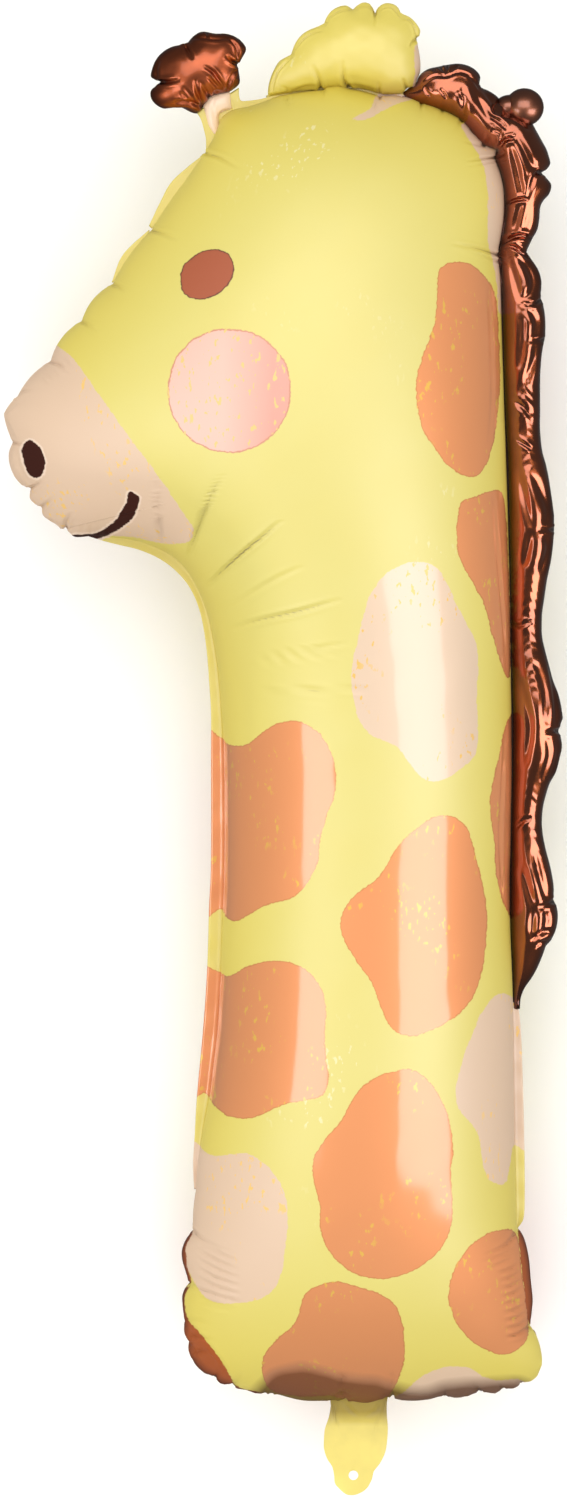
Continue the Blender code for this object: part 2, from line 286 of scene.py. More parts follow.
def gridMesh(name, points, shapes=None, closed=False, creases=None):
    # a grid of points as one smooth surface; closed joins its last column to its first, and a
    # printed one carries its inks and creases as attributes
    rows, cols = points.shape[:2]
    index = np.arange(rows * cols).reshape(rows, cols)
    if closed:
        index = np.concatenate([index, index[:, :1]], axis=1)
    quads = np.stack([index[:-1, :-1], index[1:, :-1], index[1:, 1:], index[:-1, 1:]], axis=-1)
    quads = quads.reshape(-1, 4)
    mesh = bpy.data.meshes.new(name)
    mesh.vertices.add(rows * cols)
    mesh.vertices.foreach_set("co", points.reshape(-1).astype(np.float32))
    mesh.loops.add(quads.size)
    mesh.loops.foreach_set("vertex_index", quads.reshape(-1).astype(np.int32))
    mesh.polygons.add(len(quads))
    mesh.polygons.foreach_set("loop_start", np.arange(0, quads.size, 4, dtype=np.int32))
    mesh.polygons.foreach_set("use_smooth", np.ones(len(quads), bool))
    mesh.update(calc_edges=True)
    if shapes:
        for key, values in printFields(points, shapes, creases or {}).items():
            layer = mesh.attributes.new(key, "FLOAT", "POINT")
            layer.data.foreach_set("value", values.reshape(-1).astype(np.float32))
    return mesh


def addPiece(name, meshes, material):
    # meshes whose touching points are joined into one object, riding on the balloon's only body
    whole = bmesh.new()
    for mesh in meshes:
        whole.from_mesh(mesh)
    bmesh.ops.remove_doubles(whole, verts=whole.verts, dist=1e-6)
    mesh = bpy.data.meshes.new(name)
    whole.to_mesh(mesh)
    whole.free()
    mesh.materials.append(material)
    piece = bpy.data.objects.new(name, mesh)
    bpy.context.scene.collection.objects.link(piece)
    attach(piece, "root")
    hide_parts("giraffe_balloon")
    print("made", name, sum(len(face.vertices) - 2 for face in mesh.polygons), "triangles")


# Print: closed outlines on the sheet, by ink, and one outline of painted shade
printShapes = {
    "copper": [
        [(440, 268), (456, 262), (470, 264), (482, 273), (492, 287), (497, 305), (499, 340), (500, 380),
         (498, 410), (494, 440), (488, 460), (480, 474), (470, 477), (456, 472), (444, 461), (434, 447),
         (424, 432), (418, 412), (416, 390), (418, 372), (424, 352), (432, 332), (436, 312), (437, 290)],
        [(490, 491), (500, 490), (504, 500), (507, 530), (509, 580), (511, 640), (510, 676), (505, 674),
         (498, 655), (491, 630), (486, 610), (478, 592), (468, 575), (460, 560), (457, 545), (457, 525),
         (459, 508), (464, 500), (474, 497)],
        [(196, 738), (222, 738), (226, 744), (238, 746), (250, 743), (262, 732), (276, 724), (292, 720),
         (305, 724), (318, 732), (329, 748), (335, 765), (336, 780), (333, 800), (326, 818), (320, 840),
         (318, 860), (312, 875), (302, 890), (290, 899), (276, 902), (262, 907), (250, 914), (238, 921),
         (230, 920), (224, 915), (220, 908), (196, 908)],
        [(440, 815), (455, 817), (466, 826), (472, 842), (478, 865), (484, 890), (487, 915), (486, 945),
         (480, 980), (470, 1002), (456, 1016), (440, 1026), (425, 1033), (410, 1036), (396, 1032),
         (386, 1020), (378, 1000), (371, 982), (358, 964), (348, 948), (341, 932), (341, 918), (348, 903),
         (362, 889), (378, 878), (388, 862), (398, 846), (412, 832), (426, 821)],
        [(510, 717), (519, 717), (519, 913), (508, 912), (502, 900), (497, 880), (495, 860), (495, 845),
         (492, 830), (490, 805), (492, 785), (497, 765), (502, 740), (506, 724)],
        [(185, 971), (218, 971), (224, 976), (234, 974), (246, 967), (262, 962), (282, 961), (298, 965),
         (312, 975), (322, 990), (326, 1010), (325, 1035), (326, 1060), (329, 1080), (323, 1095),
         (308, 1100), (290, 1103), (275, 1108), (258, 1116), (243, 1119), (228, 1116), (215, 1106),
         (209, 1097), (204, 1093), (180, 1093)],
        [(392, 1072), (404, 1069), (416, 1071), (428, 1080), (438, 1094), (446, 1110), (451, 1128),
         (453, 1150), (451, 1175), (452, 1200), (452, 1220), (446, 1240), (436, 1254), (420, 1267),
         (402, 1275), (385, 1279), (368, 1278), (350, 1272), (336, 1260), (325, 1245), (320, 1228),
         (320, 1205), (314, 1185), (312, 1168), (316, 1153), (326, 1138), (338, 1125), (346, 1112),
         (355, 1095), (368, 1082), (380, 1075)],
        [(330, 1282), (342, 1282), (358, 1287), (376, 1292), (390, 1300), (400, 1314), (404, 1335),
         (404, 1360), (400, 1375), (395, 1386), (390, 1394), (384, 1400), (366, 1406), (346, 1400),
         (330, 1396), (296, 1396), (272, 1391), (265, 1382), (262, 1370), (264, 1355), (274, 1342),
         (288, 1330), (298, 1318), (302, 1300), (312, 1288)],
        [(500, 1230), (512, 1230), (518, 1240), (523, 1280), (528, 1312), (528, 1335), (520, 1348),
         (510, 1354), (498, 1354), (482, 1348), (468, 1338), (456, 1322), (449, 1302), (450, 1282),
         (458, 1262), (468, 1248), (480, 1238), (490, 1232)],
    ],
    "cream": [
        [(398, 567), (408, 563), (428, 563), (440, 572), (448, 585), (455, 602), (466, 622), (475, 640),
         (478, 660), (477, 700), (478, 740), (474, 757), (462, 768), (448, 778), (436, 782), (424, 779),
         (412, 768), (402, 752), (388, 742), (372, 736), (360, 722), (354, 700), (351, 680), (354, 655),
         (360, 630), (368, 600), (380, 580), (390, 571)],
    ],
    "beige": [
        [(504, 993), (516, 1000), (534, 1010), (534, 1144), (514, 1144), (511, 1160), (506, 1182),
         (498, 1184), (488, 1178), (483, 1165), (481, 1150), (477, 1132), (468, 1120), (458, 1108),
         (456, 1090), (460, 1070), (466, 1050), (474, 1030), (482, 1012), (492, 998)],
        [(196, 1143), (202, 1149), (215, 1156), (232, 1154), (246, 1153), (260, 1160), (274, 1174),
         (284, 1192), (288, 1215), (286, 1240), (283, 1265), (277, 1285), (266, 1296), (250, 1302),
         (235, 1303), (218, 1303), (205, 1297), (198, 1288), (190, 1274), (176, 1240), (176, 1143)],
        [(386, 1404), (396, 1396), (404, 1392), (420, 1378), (436, 1370), (452, 1366), (470, 1368),
         (482, 1376), (496, 1380), (520, 1380), (536, 1392), (500, 1412), (430, 1414)],
        [(57, 346), (75, 361), (100, 396), (130, 438), (160, 478), (178, 505), (194, 530), (188, 541),
         (173, 544), (158, 543), (140, 538), (118, 536), (96, 534), (80, 552), (30, 560), (-20, 480),
         (-20, 380), (30, 340)],
        [(462, 124), (472, 144), (482, 162), (486, 180), (488, 200), (488, 240), (492, 258), (497, 285),
         (499, 312), (512, 312), (516, 240), (516, 150), (500, 130)],
        [(352, 119), (360, 114), (370, 109), (374, 100), (380, 94), (400, 94), (412, 99), (402, 102),
         (388, 108), (380, 112), (375, 116), (364, 120)],
    ],
    "brown": [
        [(193, 1231), (188, 1241), (186, 1251), (187, 1263), (189, 1273), (191, 1283), (176, 1284),
         (172, 1255), (182, 1230)],
        [(190, 1286), (186, 1293), (185, 1302), (186, 1311), (188, 1320), (200, 1333), (211, 1347),
         (221, 1360), (228, 1372), (234, 1384), (246, 1389), (262, 1393), (262, 1402), (200, 1400),
         (170, 1360), (174, 1300)],
        [(518, 1228), (519, 1245), (522, 1270), (525, 1297), (529, 1323), (545, 1323), (545, 1280),
         (530, 1228)],
    ],
    # painted shade over the column's bottom, where it turns away from the lights
    "shade": [
        [(262, 1376), (300, 1362), (345, 1372), (380, 1376), (392, 1380), (420, 1386), (444, 1380),
         (480, 1377), (530, 1379), (530, 1420), (262, 1420)],
    ],
    "cheek": [
        [(229, 329), (253, 333), (273, 346), (287, 366), (291, 391), (287, 414), (274, 434), (254, 448),
         (229, 453), (205, 448), (185, 435), (172, 415), (168, 391), (172, 366), (185, 346), (205, 333)],
    ],
    "eye": [
        [(180, 284), (182, 268), (190, 259), (203, 251), (218, 249), (229, 254), (234, 267), (231, 281),
         (221, 292), (207, 299), (193, 299), (184, 294)],
    ],
    "ink": [
        [(22, 451), (24, 444), (30, 440), (38, 445), (43, 453), (45, 463), (43, 473), (37, 478), (30, 475),
         (24, 463)],
        [(128, 493), (132, 492), (138, 495), (139, 500), (136, 511), (132, 519), (124, 526), (112, 533),
         (100, 538), (72, 540), (72, 535), (90, 534), (101, 531), (112, 523), (120, 514), (126, 503)],
    ],
}
earShapes = {"beige": [[(414, 50), (418, 44), (428, 50), (428, 92), (413, 94), (415, 74)]]}
backShapes = {
    "copper": [
        [(250, 250), (290, 240), (320, 270), (325, 330), (300, 380), (260, 385), (236, 340), (234, 290)],
        [(420, 330), (460, 310), (520, 330), (520, 440), (470, 450), (430, 410)],
        [(190, 760), (250, 752), (290, 780), (300, 830), (280, 880), (230, 890), (190, 880)],
        [(400, 640), (450, 650), (480, 700), (470, 760), (420, 780), (380, 740), (375, 680)],
        [(330, 900), (380, 890), (420, 930), (425, 990), (390, 1030), (340, 1020), (310, 960)],
        [(180, 1220), (230, 1215), (262, 1250), (250, 1300), (210, 1320), (170, 1310)],
        [(400, 1180), (450, 1170), (560, 1200), (560, 1340), (470, 1345), (420, 1300), (395, 1240)],
        [(290, 1330), (340, 1310), (390, 1340), (390, 1410), (290, 1410), (275, 1370)],
    ],
    "cream": [
        [(300, 560), (340, 550), (370, 590), (372, 650), (340, 700), (300, 690), (276, 630)],
        [(240, 1020), (280, 1010), (315, 1050), (312, 1120), (270, 1150), (232, 1120), (222, 1060)],
    ],
    "beige": printShapes["beige"][3:],
    "cheek": printShapes["cheek"],
    "eye": printShapes["eye"],
    "ink": printShapes["ink"],
}


def printFields(points, shapes, creases):
    # for each ink, how far inside its nearest printed shape a point is seen to lie, and how deep
    # in a crease
    x, y = seenFromAbove(points)
    fields = {"fold": -folded(x, y, creases)}
    x, y = x + 0.5 * rippled(x, y, 5, 19), y + 0.5 * rippled(x, y, 6, 17)
    for ink in printShapes:
        field = np.full(x.shape, -30.0)
        for ring in shapes.get(ink, []):
            field = np.maximum(field, insideOf(x, y, throughPoints(ring, 6, closed=True)))
        fields[ink] = field
    return fields


# Chambers: four sides each, with their puckers, and the rows that pair the left with the right
body = {
    "rows": 655, "across": 150,
    "left": [
        (209, 154, 0), (152, 230, 0.03), (113, 284, 0.05), (82, 321, 0.11), (51, 361, 0.11),
        (18, 396, 0.08), (4, 414, 0.06), (13, 442, 0.04), (9, 453), (10, 465), (15, 477), (22, 485),
        (31, 488, 0), (30, 498), (35, 504), (42, 507, 0), (43, 515), (49, 520), (57, 525), (61, 529),
        (66, 527, 0), (70, 533), (76, 537), (92, 536), (110, 537), (128, 539), (145, 543), (160, 549),
        (172, 556), (184, 567), (195, 584), (206, 609), (213, 638), (218, 670), (221, 705), (223, 740),
        (224, 790), (224, 860), (222.5, 908), (220.5, 971), (217, 1030), (213, 1065), (209, 1097),
        (203, 1128), (199, 1155), (196, 1190, 0.02), (193, 1231, 0.03), (186, 1240), (182, 1250),
        (182, 1260), (185, 1271), (190, 1283, 0), (185, 1289), (182, 1298), (183, 1309), (186, 1319, 0),
        (184, 1326), (187, 1331), (192, 1336, 0), (189, 1342), (191, 1348), (195, 1353, 0)],
    "top": [
        (209, 154, 0), (212, 142), (217, 130), (222, 118), (233, 110), (247, 107), (264, 102),
        (285, 95, 0.03), (322, 90, 0.02), (349, 89, 0.16), (380, 97, 0.04), (402, 97, 0.06),
        (421, 104, 0.08), (442, 111, 0.06), (461, 121, 0.08), (471, 132, 0.08), (483, 146, 0.06),
        (498, 150, 0.02)],
    "right": [
        (498, 150, 0), (494, 158), (499, 170), (503, 186), (504, 205), (503, 222), (500, 240),
        (497, 255, 0), (500, 275), (501, 300), (502, 340), (504, 400), (506, 460), (508, 520), (510, 600),
        (511, 680), (512, 760), (511, 830), (510, 890), (511, 940), (513, 1000), (514, 1080), (515, 1150),
        (517, 1228, 0), (524, 1238), (529, 1258), (531, 1280), (533, 1300), (532, 1312), (529, 1325, 0),
        (536, 1335), (541, 1350), (541, 1360), (538, 1366, 0)],
    "bottom": [
        (195, 1353, 0), (193, 1361), (197, 1368), (205, 1375), (215, 1377, 0), (219, 1384), (225, 1386),
        (232, 1384, 0), (237, 1390), (246, 1391, 0), (256, 1395), (264, 1394, 0), (276, 1395), (290, 1399),
        (305, 1402), (328, 1402), (343, 1400, 0), (356, 1403), (368, 1404), (382, 1400), (393, 1396, 0),
        (400, 1401), (416, 1402), (432, 1400), (444, 1396, 0), (456, 1399), (470, 1397), (480, 1391, 0),
        (488, 1394), (496, 1395), (503, 1389, 0), (513, 1390), (519, 1387), (521, 1383, 0), (530, 1383),
        (537, 1378), (540, 1372), (538, 1366, 0)],
    "keys": [
        (0, (209, 154), (498, 150)), (66, (152, 230), (503, 180)), (136, (82, 321), (501, 235)),
        (205, (18, 396), (501, 295)), (226, (4, 414), (501, 315)), (246, (13, 442), (502, 335)),
        (282, (31, 488), (503, 375)), (316, (66, 527), (505, 410)), (340, (96, 536), (505, 440)),
        (364, (128, 539), (507, 485)), (384, (160, 549), (508, 530)), (400, (178, 561), (509, 565)),
        (418, (197, 588), (510, 605)), (438, (212, 632), (511, 660)), (454, (221, 705), (511, 710)),
        (530, (199, 1150), (515, 1150)), (620, (195, 1353), (538, 1366))],
}
ear = {
    "rows": 100, "across": 120,
    "left": [
        (323, 30, 0), (319, 29), (313, 29), (306, 32), (299, 38), (294, 46), (291, 55, 0), (285, 58),
        (279, 62), (274, 70), (270, 80), (268, 90), (268, 97)],
    "top": [
        (323, 30, 0), (324, 24), (327, 17), (332, 11), (339, 7), (346, 6), (350, 8), (353, 10, 0), (357, 6),
        (363, 3), (369, 4), (373, 9), (375, 14, 0), (378, 8), (384, 4), (391, 4), (397, 7), (400, 12),
        (401, 18, 0)],
    "right": [
        (401, 18, 0), (405, 16), (410, 18), (416, 24), (420, 31), (419, 36), (416, 39, 0), (418, 48),
        (420, 60), (420, 72), (417, 80), (415, 88)],
    "bottom": [
        (268, 97, 0), (285, 94), (300, 91), (320, 88), (335, 87), (350, 87), (365, 90), (380, 94),
        (390, 95), (402, 94, 0), (408, 88), (415, 88)],
    "keys": [(0, (323, 30), (401, 18)), (34, (291, 55), (416, 39)), (64, (271, 78), (420, 66)),
             (90, (268, 97), (415, 88))],
}
horn = {
    "rows": 100, "across": 96,
    "left": [
        (186, 48, 0), (177, 46), (168, 49), (160, 55), (155, 62), (152, 70), (151, 77), (155, 80),
        (161, 82, 0), (155, 87), (151, 91), (151, 98), (155, 104), (161, 108), (166, 109), (171, 106),
        (175, 105)],
    "top": [
        (186, 48, 0), (188, 43), (193, 37), (199, 33), (204, 32), (210, 33), (216, 34), (225, 34),
        (233, 36), (240, 40)],
    "right": [
        (240, 40, 0), (245, 46), (246, 51), (243, 57), (240, 62), (237, 65, 0), (239, 73), (240, 82),
        (238, 86), (233, 90), (228, 93)],
    "bottom": [
        (175, 105, 0), (184, 109), (192, 113), (197, 114), (202, 110, 0), (205, 104), (209, 98), (215, 95),
        (221, 94), (228, 93)],
    "keys": [(0, (186, 48), (240, 40)), (28, (160, 55), (246, 51)), (52, (161, 82), (237, 65)),
             (66, (151, 98), (239, 80)), (84, (175, 105), (228, 93))],
}
stem = {
    "rows": 52, "across": 32,
    "left": [(203, 106, 0), (206, 116), (209, 126), (214, 134)],
    "top": [(203, 106, 0), (208, 98), (216, 94), (230, 92)],
    "right": [(230, 92, 0), (232, 109, 0), (222, 112), (219, 118), (219, 126),
              (218, 134)],
    "bottom": [(214, 134, 0), (216, 135, 0), (218, 134, 0)],
    "keys": [(0, (203, 106), (230, 92)), (20, (206, 118), (231, 109)), (40, (214, 134), (218, 134))],
}
mane = {
    "rows": 660, "across": 40,
    "axis": [(150, 519), (250, 512), (400, 525), (530, 536), (620, 527), (720, 538), (820, 530),
             (900, 540), (1000, 518)],    # down the sheet, and across
    "feathered": [(405, 34, 1.0), (452, 26, 0.7), (610, 42, 1.0), (670, 22, 0.8),
                  (820, 40, 1.0)],        # middle and reach down the sheet, and strength
    "left": [
        (403, 95, 0), (411, 101), (420, 105), (436, 110), (450, 115), (461, 122), (470, 132), (477, 141),
        (485, 147), (497, 151, 0), (494, 158), (498, 168), (502, 180), (504, 195), (505, 210), (504, 225),
        (501, 240), (498, 254, 0), (501, 265), (502, 300), (503, 340), (504, 380), (506, 430), (508, 470),
        (509, 520), (510, 560), (511, 620), (512, 680), (513, 740), (512, 820), (511, 880), (511, 930),
        (513, 970), (514, 1009)],
    "top": [(403, 95, 0), (403, 94, 0), (403, 93, 0)],
    "right": [
        (403, 93, 0), (409, 88), (415, 85), (418, 78), (422, 73), (429, 69), (438, 67), (448, 65),
        (458, 64), (468, 66), (476, 71), (480, 77), (479, 84), (481, 88, 0), (490, 92), (498, 98),
        (503, 107), (512, 112), (522, 115), (530, 121), (535, 129), (541, 140), (546, 149), (549, 158),
        (550, 164), (547, 169), (541, 173, 0), (546, 178), (551, 185), (549, 194), (543, 201), (540, 208),
        (539, 220), (537, 230), (532, 239), (526, 252, 0), (533, 262), (538, 270), (541, 280), (541, 290),
        (540, 297, 0), (543, 305), (545, 318), (545, 335), (543, 346), (541, 360), (540, 380), (540, 410),
        (540, 430), (542, 450), (546, 465), (549, 480), (552, 500), (554, 515), (554, 529, 0), (553, 545),
        (551, 560), (547, 580), (544, 600), (542, 615), (542, 635), (545, 650), (549, 665), (553, 680),
        (558, 693), (561, 705), (563, 718), (558, 731, 0), (561, 738), (562, 747), (560, 757), (556, 772),
        (550, 783), (546, 795), (543, 808), (542, 822), (543, 835), (546, 850), (550, 865), (553, 880),
        (554, 890), (553, 899, 0), (557, 908), (558, 918), (556, 930), (551, 941), (546, 946, 0),
        (543, 955), (538, 967), (532, 978), (525, 988), (521, 998), (520, 1009)],
    "bottom": [(514, 1009, 0), (517, 1010, 0), (520, 1009, 0)],
    "keys": [
        (0, (403, 95), (403, 93)), (20, (411, 101), (415, 85)), (40, (420, 105), (429, 69)),
        (64, (436, 110), (450, 65)), (88, (455, 118), (474, 69)), (104, (466, 127), (481, 88)),
        (118, (477, 141), (500, 102)), (134, (489, 149), (520, 114)), (150, (495, 156), (535, 129)),
        (178, (500, 174), (550, 164)), (188, (502, 180), (541, 173)), (200, (504, 192), (551, 185)),
        (216, (505, 210), (540, 208)), (244, (499, 250), (526, 252)), (272, (501, 275), (541, 280)),
        (286, (502, 295), (540, 297)), (306, (503, 330), (545, 335)), (360, (506, 430), (540, 430)),
        (412, (509, 528), (554, 529)), (460, (511, 620), (542, 620)), (512, (513, 731), (558, 731)),
        (556, (512, 822), (542, 822)), (592, (511, 899), (553, 899)), (612, (511, 945), (546, 946)),
        (640, (514, 1009), (520, 1009))],
}


# Creases, by whether they fade to their far end or to both: depth, width and the line's points
def comb(start, end, count, startStep, endStep, depth, width):
    # a row of nearly parallel short creases
    rows = []
    for k in range(count):
        a = np.array(start) + np.array(startStep) * k
        b = np.array(end) + np.array(endStep) * k
        rows.append((depth, width, a, (a + b) / 2 + (0, 1.5), b))
    return rows


frontCreases = {
    "end": [
        (3.0, 1.6, (206, 153), (222, 158), (240, 169)), (2.6, 1.8, (150, 230), (165, 234), (178, 240)),
        (2.2, 1.6, (111, 284), (120, 287), (128, 292)), (2.0, 1.6, (80, 321), (90, 326), (98, 331)),
        (2.0, 1.6, (49, 361), (62, 366), (72, 374)), (3.0, 1.5, (16, 396), (22, 391), (32, 389)),
        (2.6, 1.4, (12, 442), (18, 444), (26, 444)), (2.8, 1.5, (30, 488), (36, 485), (44, 480)),
        (2.0, 1.5, (42, 507), (48, 502), (56, 496)), (3.0, 1.5, (66, 528), (66, 522), (72, 512)),
        (2.8, 1.2, (285, 95), (288, 102), (291, 111)), (3.0, 1.3, (380, 97), (375, 107), (372, 119)),
        (1.6, 1.6, (323, 90), (324, 95), (324, 100)), (2.2, 1.2, (421, 103), (421, 110), (420, 118)),
        (1.2, 1.4, (442, 111), (440, 116), (438, 122)), (1.6, 1.4, (461, 121), (457, 126), (454, 132)),
        (1.6, 1.3, (484, 146), (475, 144), (462, 141)), (3.0, 1.3, (494, 158), (482, 159), (466, 161)),
        (1.4, 1.2, (494, 162), (480, 164), (468, 166)), (3.0, 1.5, (497, 255), (478, 249), (452, 243)),
        (1.4, 1.3, (498, 262), (482, 255), (460, 247)), (3.4, 1.3, (272, 1394), (272, 1388), (273, 1382)),
        (5.4, 1.6, (344, 1400), (342, 1386), (343, 1370)),
        (5.2, 1.6, (392, 1397), (391, 1386), (392, 1372)),
        (1.8, 1.3, (386, 1399), (386, 1390), (385, 1381)),
        (1.8, 1.4, (264, 1394), (264, 1388), (262, 1382)),
        (2.0, 1.5, (234, 1384), (240, 1378), (243, 1370)),
        (1.8, 1.4, (215, 1377), (221, 1370), (225, 1364)),
        (2.2, 1.4, (196, 1353), (204, 1351), (212, 1351)),
        (2.4, 1.5, (192, 1336), (202, 1338), (214, 1340)),
        (1.8, 1.4, (444, 1397), (445, 1390), (443, 1381)),
        (2.6, 1.5, (480, 1391), (474, 1385), (472, 1378)),
        (1.8, 1.4, (503, 1389), (499, 1384), (496, 1378)),
        (1.6, 1.4, (521, 1383), (513, 1378), (506, 1374)),
        (2.6, 1.6, (193, 1231), (203, 1240), (218, 1248), (236, 1254)),
        (1.8, 1.5, (190, 1283), (200, 1290), (216, 1296)),
        (1.6, 1.4, (187, 1320), (200, 1322), (212, 1325)),
        (2.2, 1.4, (529, 1327), (520, 1333), (508, 1338)),
        (2.8, 1.5, (516, 1232), (508, 1244), (496, 1251), (482, 1257))],
    "both": [
        (1.2, 1.4, (3, 414), (10, 408), (18, 401)), (1.2, 1.4, (5, 420), (10, 430), (15, 440)),
        (0.9, 1.6, (18, 446), (17, 458), (21, 470), (27, 482)),
        (3.2, 1.3, (221, 474), (209, 500), (198, 528), (188, 556)),
        (3.2, 1.4, (281, 520), (262, 537), (240, 555), (206, 586)),
        (1.2, 1.8, (303, 566), (270, 582), (223, 611)),
        (2.6, 1.5, (342, 599), (300, 611), (260, 620), (230, 629)),
        (1.3, 1.5, (347, 643), (300, 651), (258, 659)), (1.1, 1.4, (351, 651), (300, 657), (250, 665)),
        (1.9, 1.4, (372, 689), (310, 691), (252, 693)), (0.7, 1.3, (332, 699), (300, 700), (272, 700)),
        (1.8, 1.3, (156, 476), (158, 510), (162, 543)), (0.5, 1.5, (122, 480), (124, 500), (121, 520)),
        (0.8, 1.2, (488, 284), (491, 340), (492, 400), (489, 445)),
        (0.9, 1.2, (493, 491), (498, 560), (503, 620), (507, 674)),
        (0.9, 1.2, (506, 722), (502, 790), (500, 840), (503, 904)),
        (2.4, 1.6, (328, 1402), (340, 1394), (352, 1394)),
        (1.8, 1.2, (395, 1397), (412, 1395), (432, 1396)),
        (1.2, 1.3, (188, 1321), (200, 1334), (211, 1348), (221, 1361), (233, 1383))]
    + comb((196, 1240), (238, 1262), 6, (0.4, 9.6), (0.4, 8.0), 1.9, 1.6)
    + comb((200, 1298), (232, 1306), 2, (1, 5.0), (0, 4.5), 0.9, 1.4)
    + comb((513, 1250), (482, 1262), 2, (1.0, 7.0), (6.0, 6.0), 1.4, 1.5)
    + comb((519, 1264), (500, 1273), 9, (0.9, 8.3), (0.8, 8.0), 2.0, 1.5)
    + comb((40, 374), (50, 384), 5, (6.0, -4.0), (5.8, -3.6), 0.8, 1.2)
    + comb((80, 536), (84, 522), 4, (9, 0.5), (8, 1), 0.6, 1.3)
    + comb((452, 1398), (456, 1384), 4, (6, -0.5), (5, 0), 0.8, 1.2),
}
backCreases = {
    "end": [
        (3.2, 2.6, (206, 153), (222, 158), (240, 169)), (3.0, 2.6, (150, 230), (165, 234), (178, 240)),
        (2.2, 2.4, (80, 321), (92, 326), (104, 331)), (2.2, 2.4, (49, 361), (62, 366), (76, 374)),
        (2.6, 2.4, (30, 489), (40, 484), (52, 474)), (2.6, 2.4, (66, 527), (70, 519), (78, 508)),
        (3.0, 2.4, (381, 96), (375, 108), (371, 124)), (3.0, 2.4, (496, 255), (478, 249), (454, 242)),
        (4.0, 2.6, (343, 1399), (341, 1384), (344, 1368)),
        (2.4, 2.4, (196, 1229), (214, 1236), (236, 1248)),
        (2.6, 2.4, (530, 1328), (516, 1334), (500, 1338)),
        (2.4, 2.4, (479, 1393), (474, 1383), (468, 1372))],
    "both": [
        (3.4, 2.6, (216, 470), (208, 500), (192, 560)), (3.4, 2.6, (280, 525), (245, 556), (206, 588)),
        (2.6, 2.6, (335, 604), (280, 618), (228, 630))],
}
earCreases = {
    "end": [
        (3.6, 1.4, (417, 38), (413, 43), (411, 48)), (2.0, 1.3, (375, 13), (375, 19), (374, 26)),
        (1.6, 1.4, (268, 96), (285, 94), (288, 90), (280, 86)),
        (3.0, 1.8, (321, 90), (319, 80), (312, 64)), (3.4, 1.8, (350, 89), (344, 80), (343, 60)),
        (2.6, 1.4, (380, 96), (379, 90), (379, 82)), (2.8, 1.4, (407, 90), (405, 84), (403, 78))],
    "both": [
        (2.4, 1.0, (272, 95), (273, 84), (277, 73), (283, 65), (292, 56)),
        (2.4, 1.0, (292, 53), (300, 42), (310, 34), (323, 30)),
        (2.2, 1.0, (324, 26), (331, 16), (340, 11), (353, 9)),
        (2.0, 0.9, (356, 9), (364, 6), (371, 8), (375, 14)),
        (2.0, 0.9, (376, 13), (385, 7), (393, 8), (401, 18)),
        (2.4, 1.0, (402, 19), (409, 19), (415, 28), (416, 38)),
        (1.6, 1.8, (342, 84), (360, 87), (379, 92)), (1.6, 1.8, (290, 93), (305, 88), (320, 86))],
}
hornCreases = {
    "end": [
        (3.6, 1.8, (160, 82), (168, 82), (180, 80)), (2.6, 1.8, (186, 47), (189, 53), (193, 60)),
        (2.0, 1.2, (207, 32), (208, 37), (209, 41)), (4.4, 1.4, (238, 65), (232, 61), (226, 55)),
        (4.0, 1.7, (204, 106), (198, 94), (195, 79)), (3.6, 1.7, (202, 108), (191, 97), (183, 86)),
        (2.6, 1.5, (210, 98), (205, 90), (199, 80))],
    "both": [
        (2.4, 1.3, (228, 38), (236, 45), (238, 54), (237, 64)),
        (1.4, 1.4, (192, 38), (204, 38), (216, 39), (228, 38)),
        (2.6, 1.5, (204, 66), (213, 72), (220, 82), (226, 92)),
        (2.2, 1.4, (208, 76), (216, 85), (224, 92)), (2.4, 1.4, (197, 106), (187, 98), (181, 92)),
        (3.2, 1.6, (174, 103), (186, 102), (199, 107)), (2.8, 1.3, (237, 67), (231, 79), (226, 93)),
        (1.8, 1.2, (213, 97), (216, 91), (222, 93)), (1.2, 1.8, (159, 60), (156, 70), (158, 79))],
}
stemCreases = {
    "both": [
        (1.6, 1.2, (231, 110), (222, 112), (218, 120)), (0.8, 1.3, (214, 98), (213, 108), (215, 120))],
}
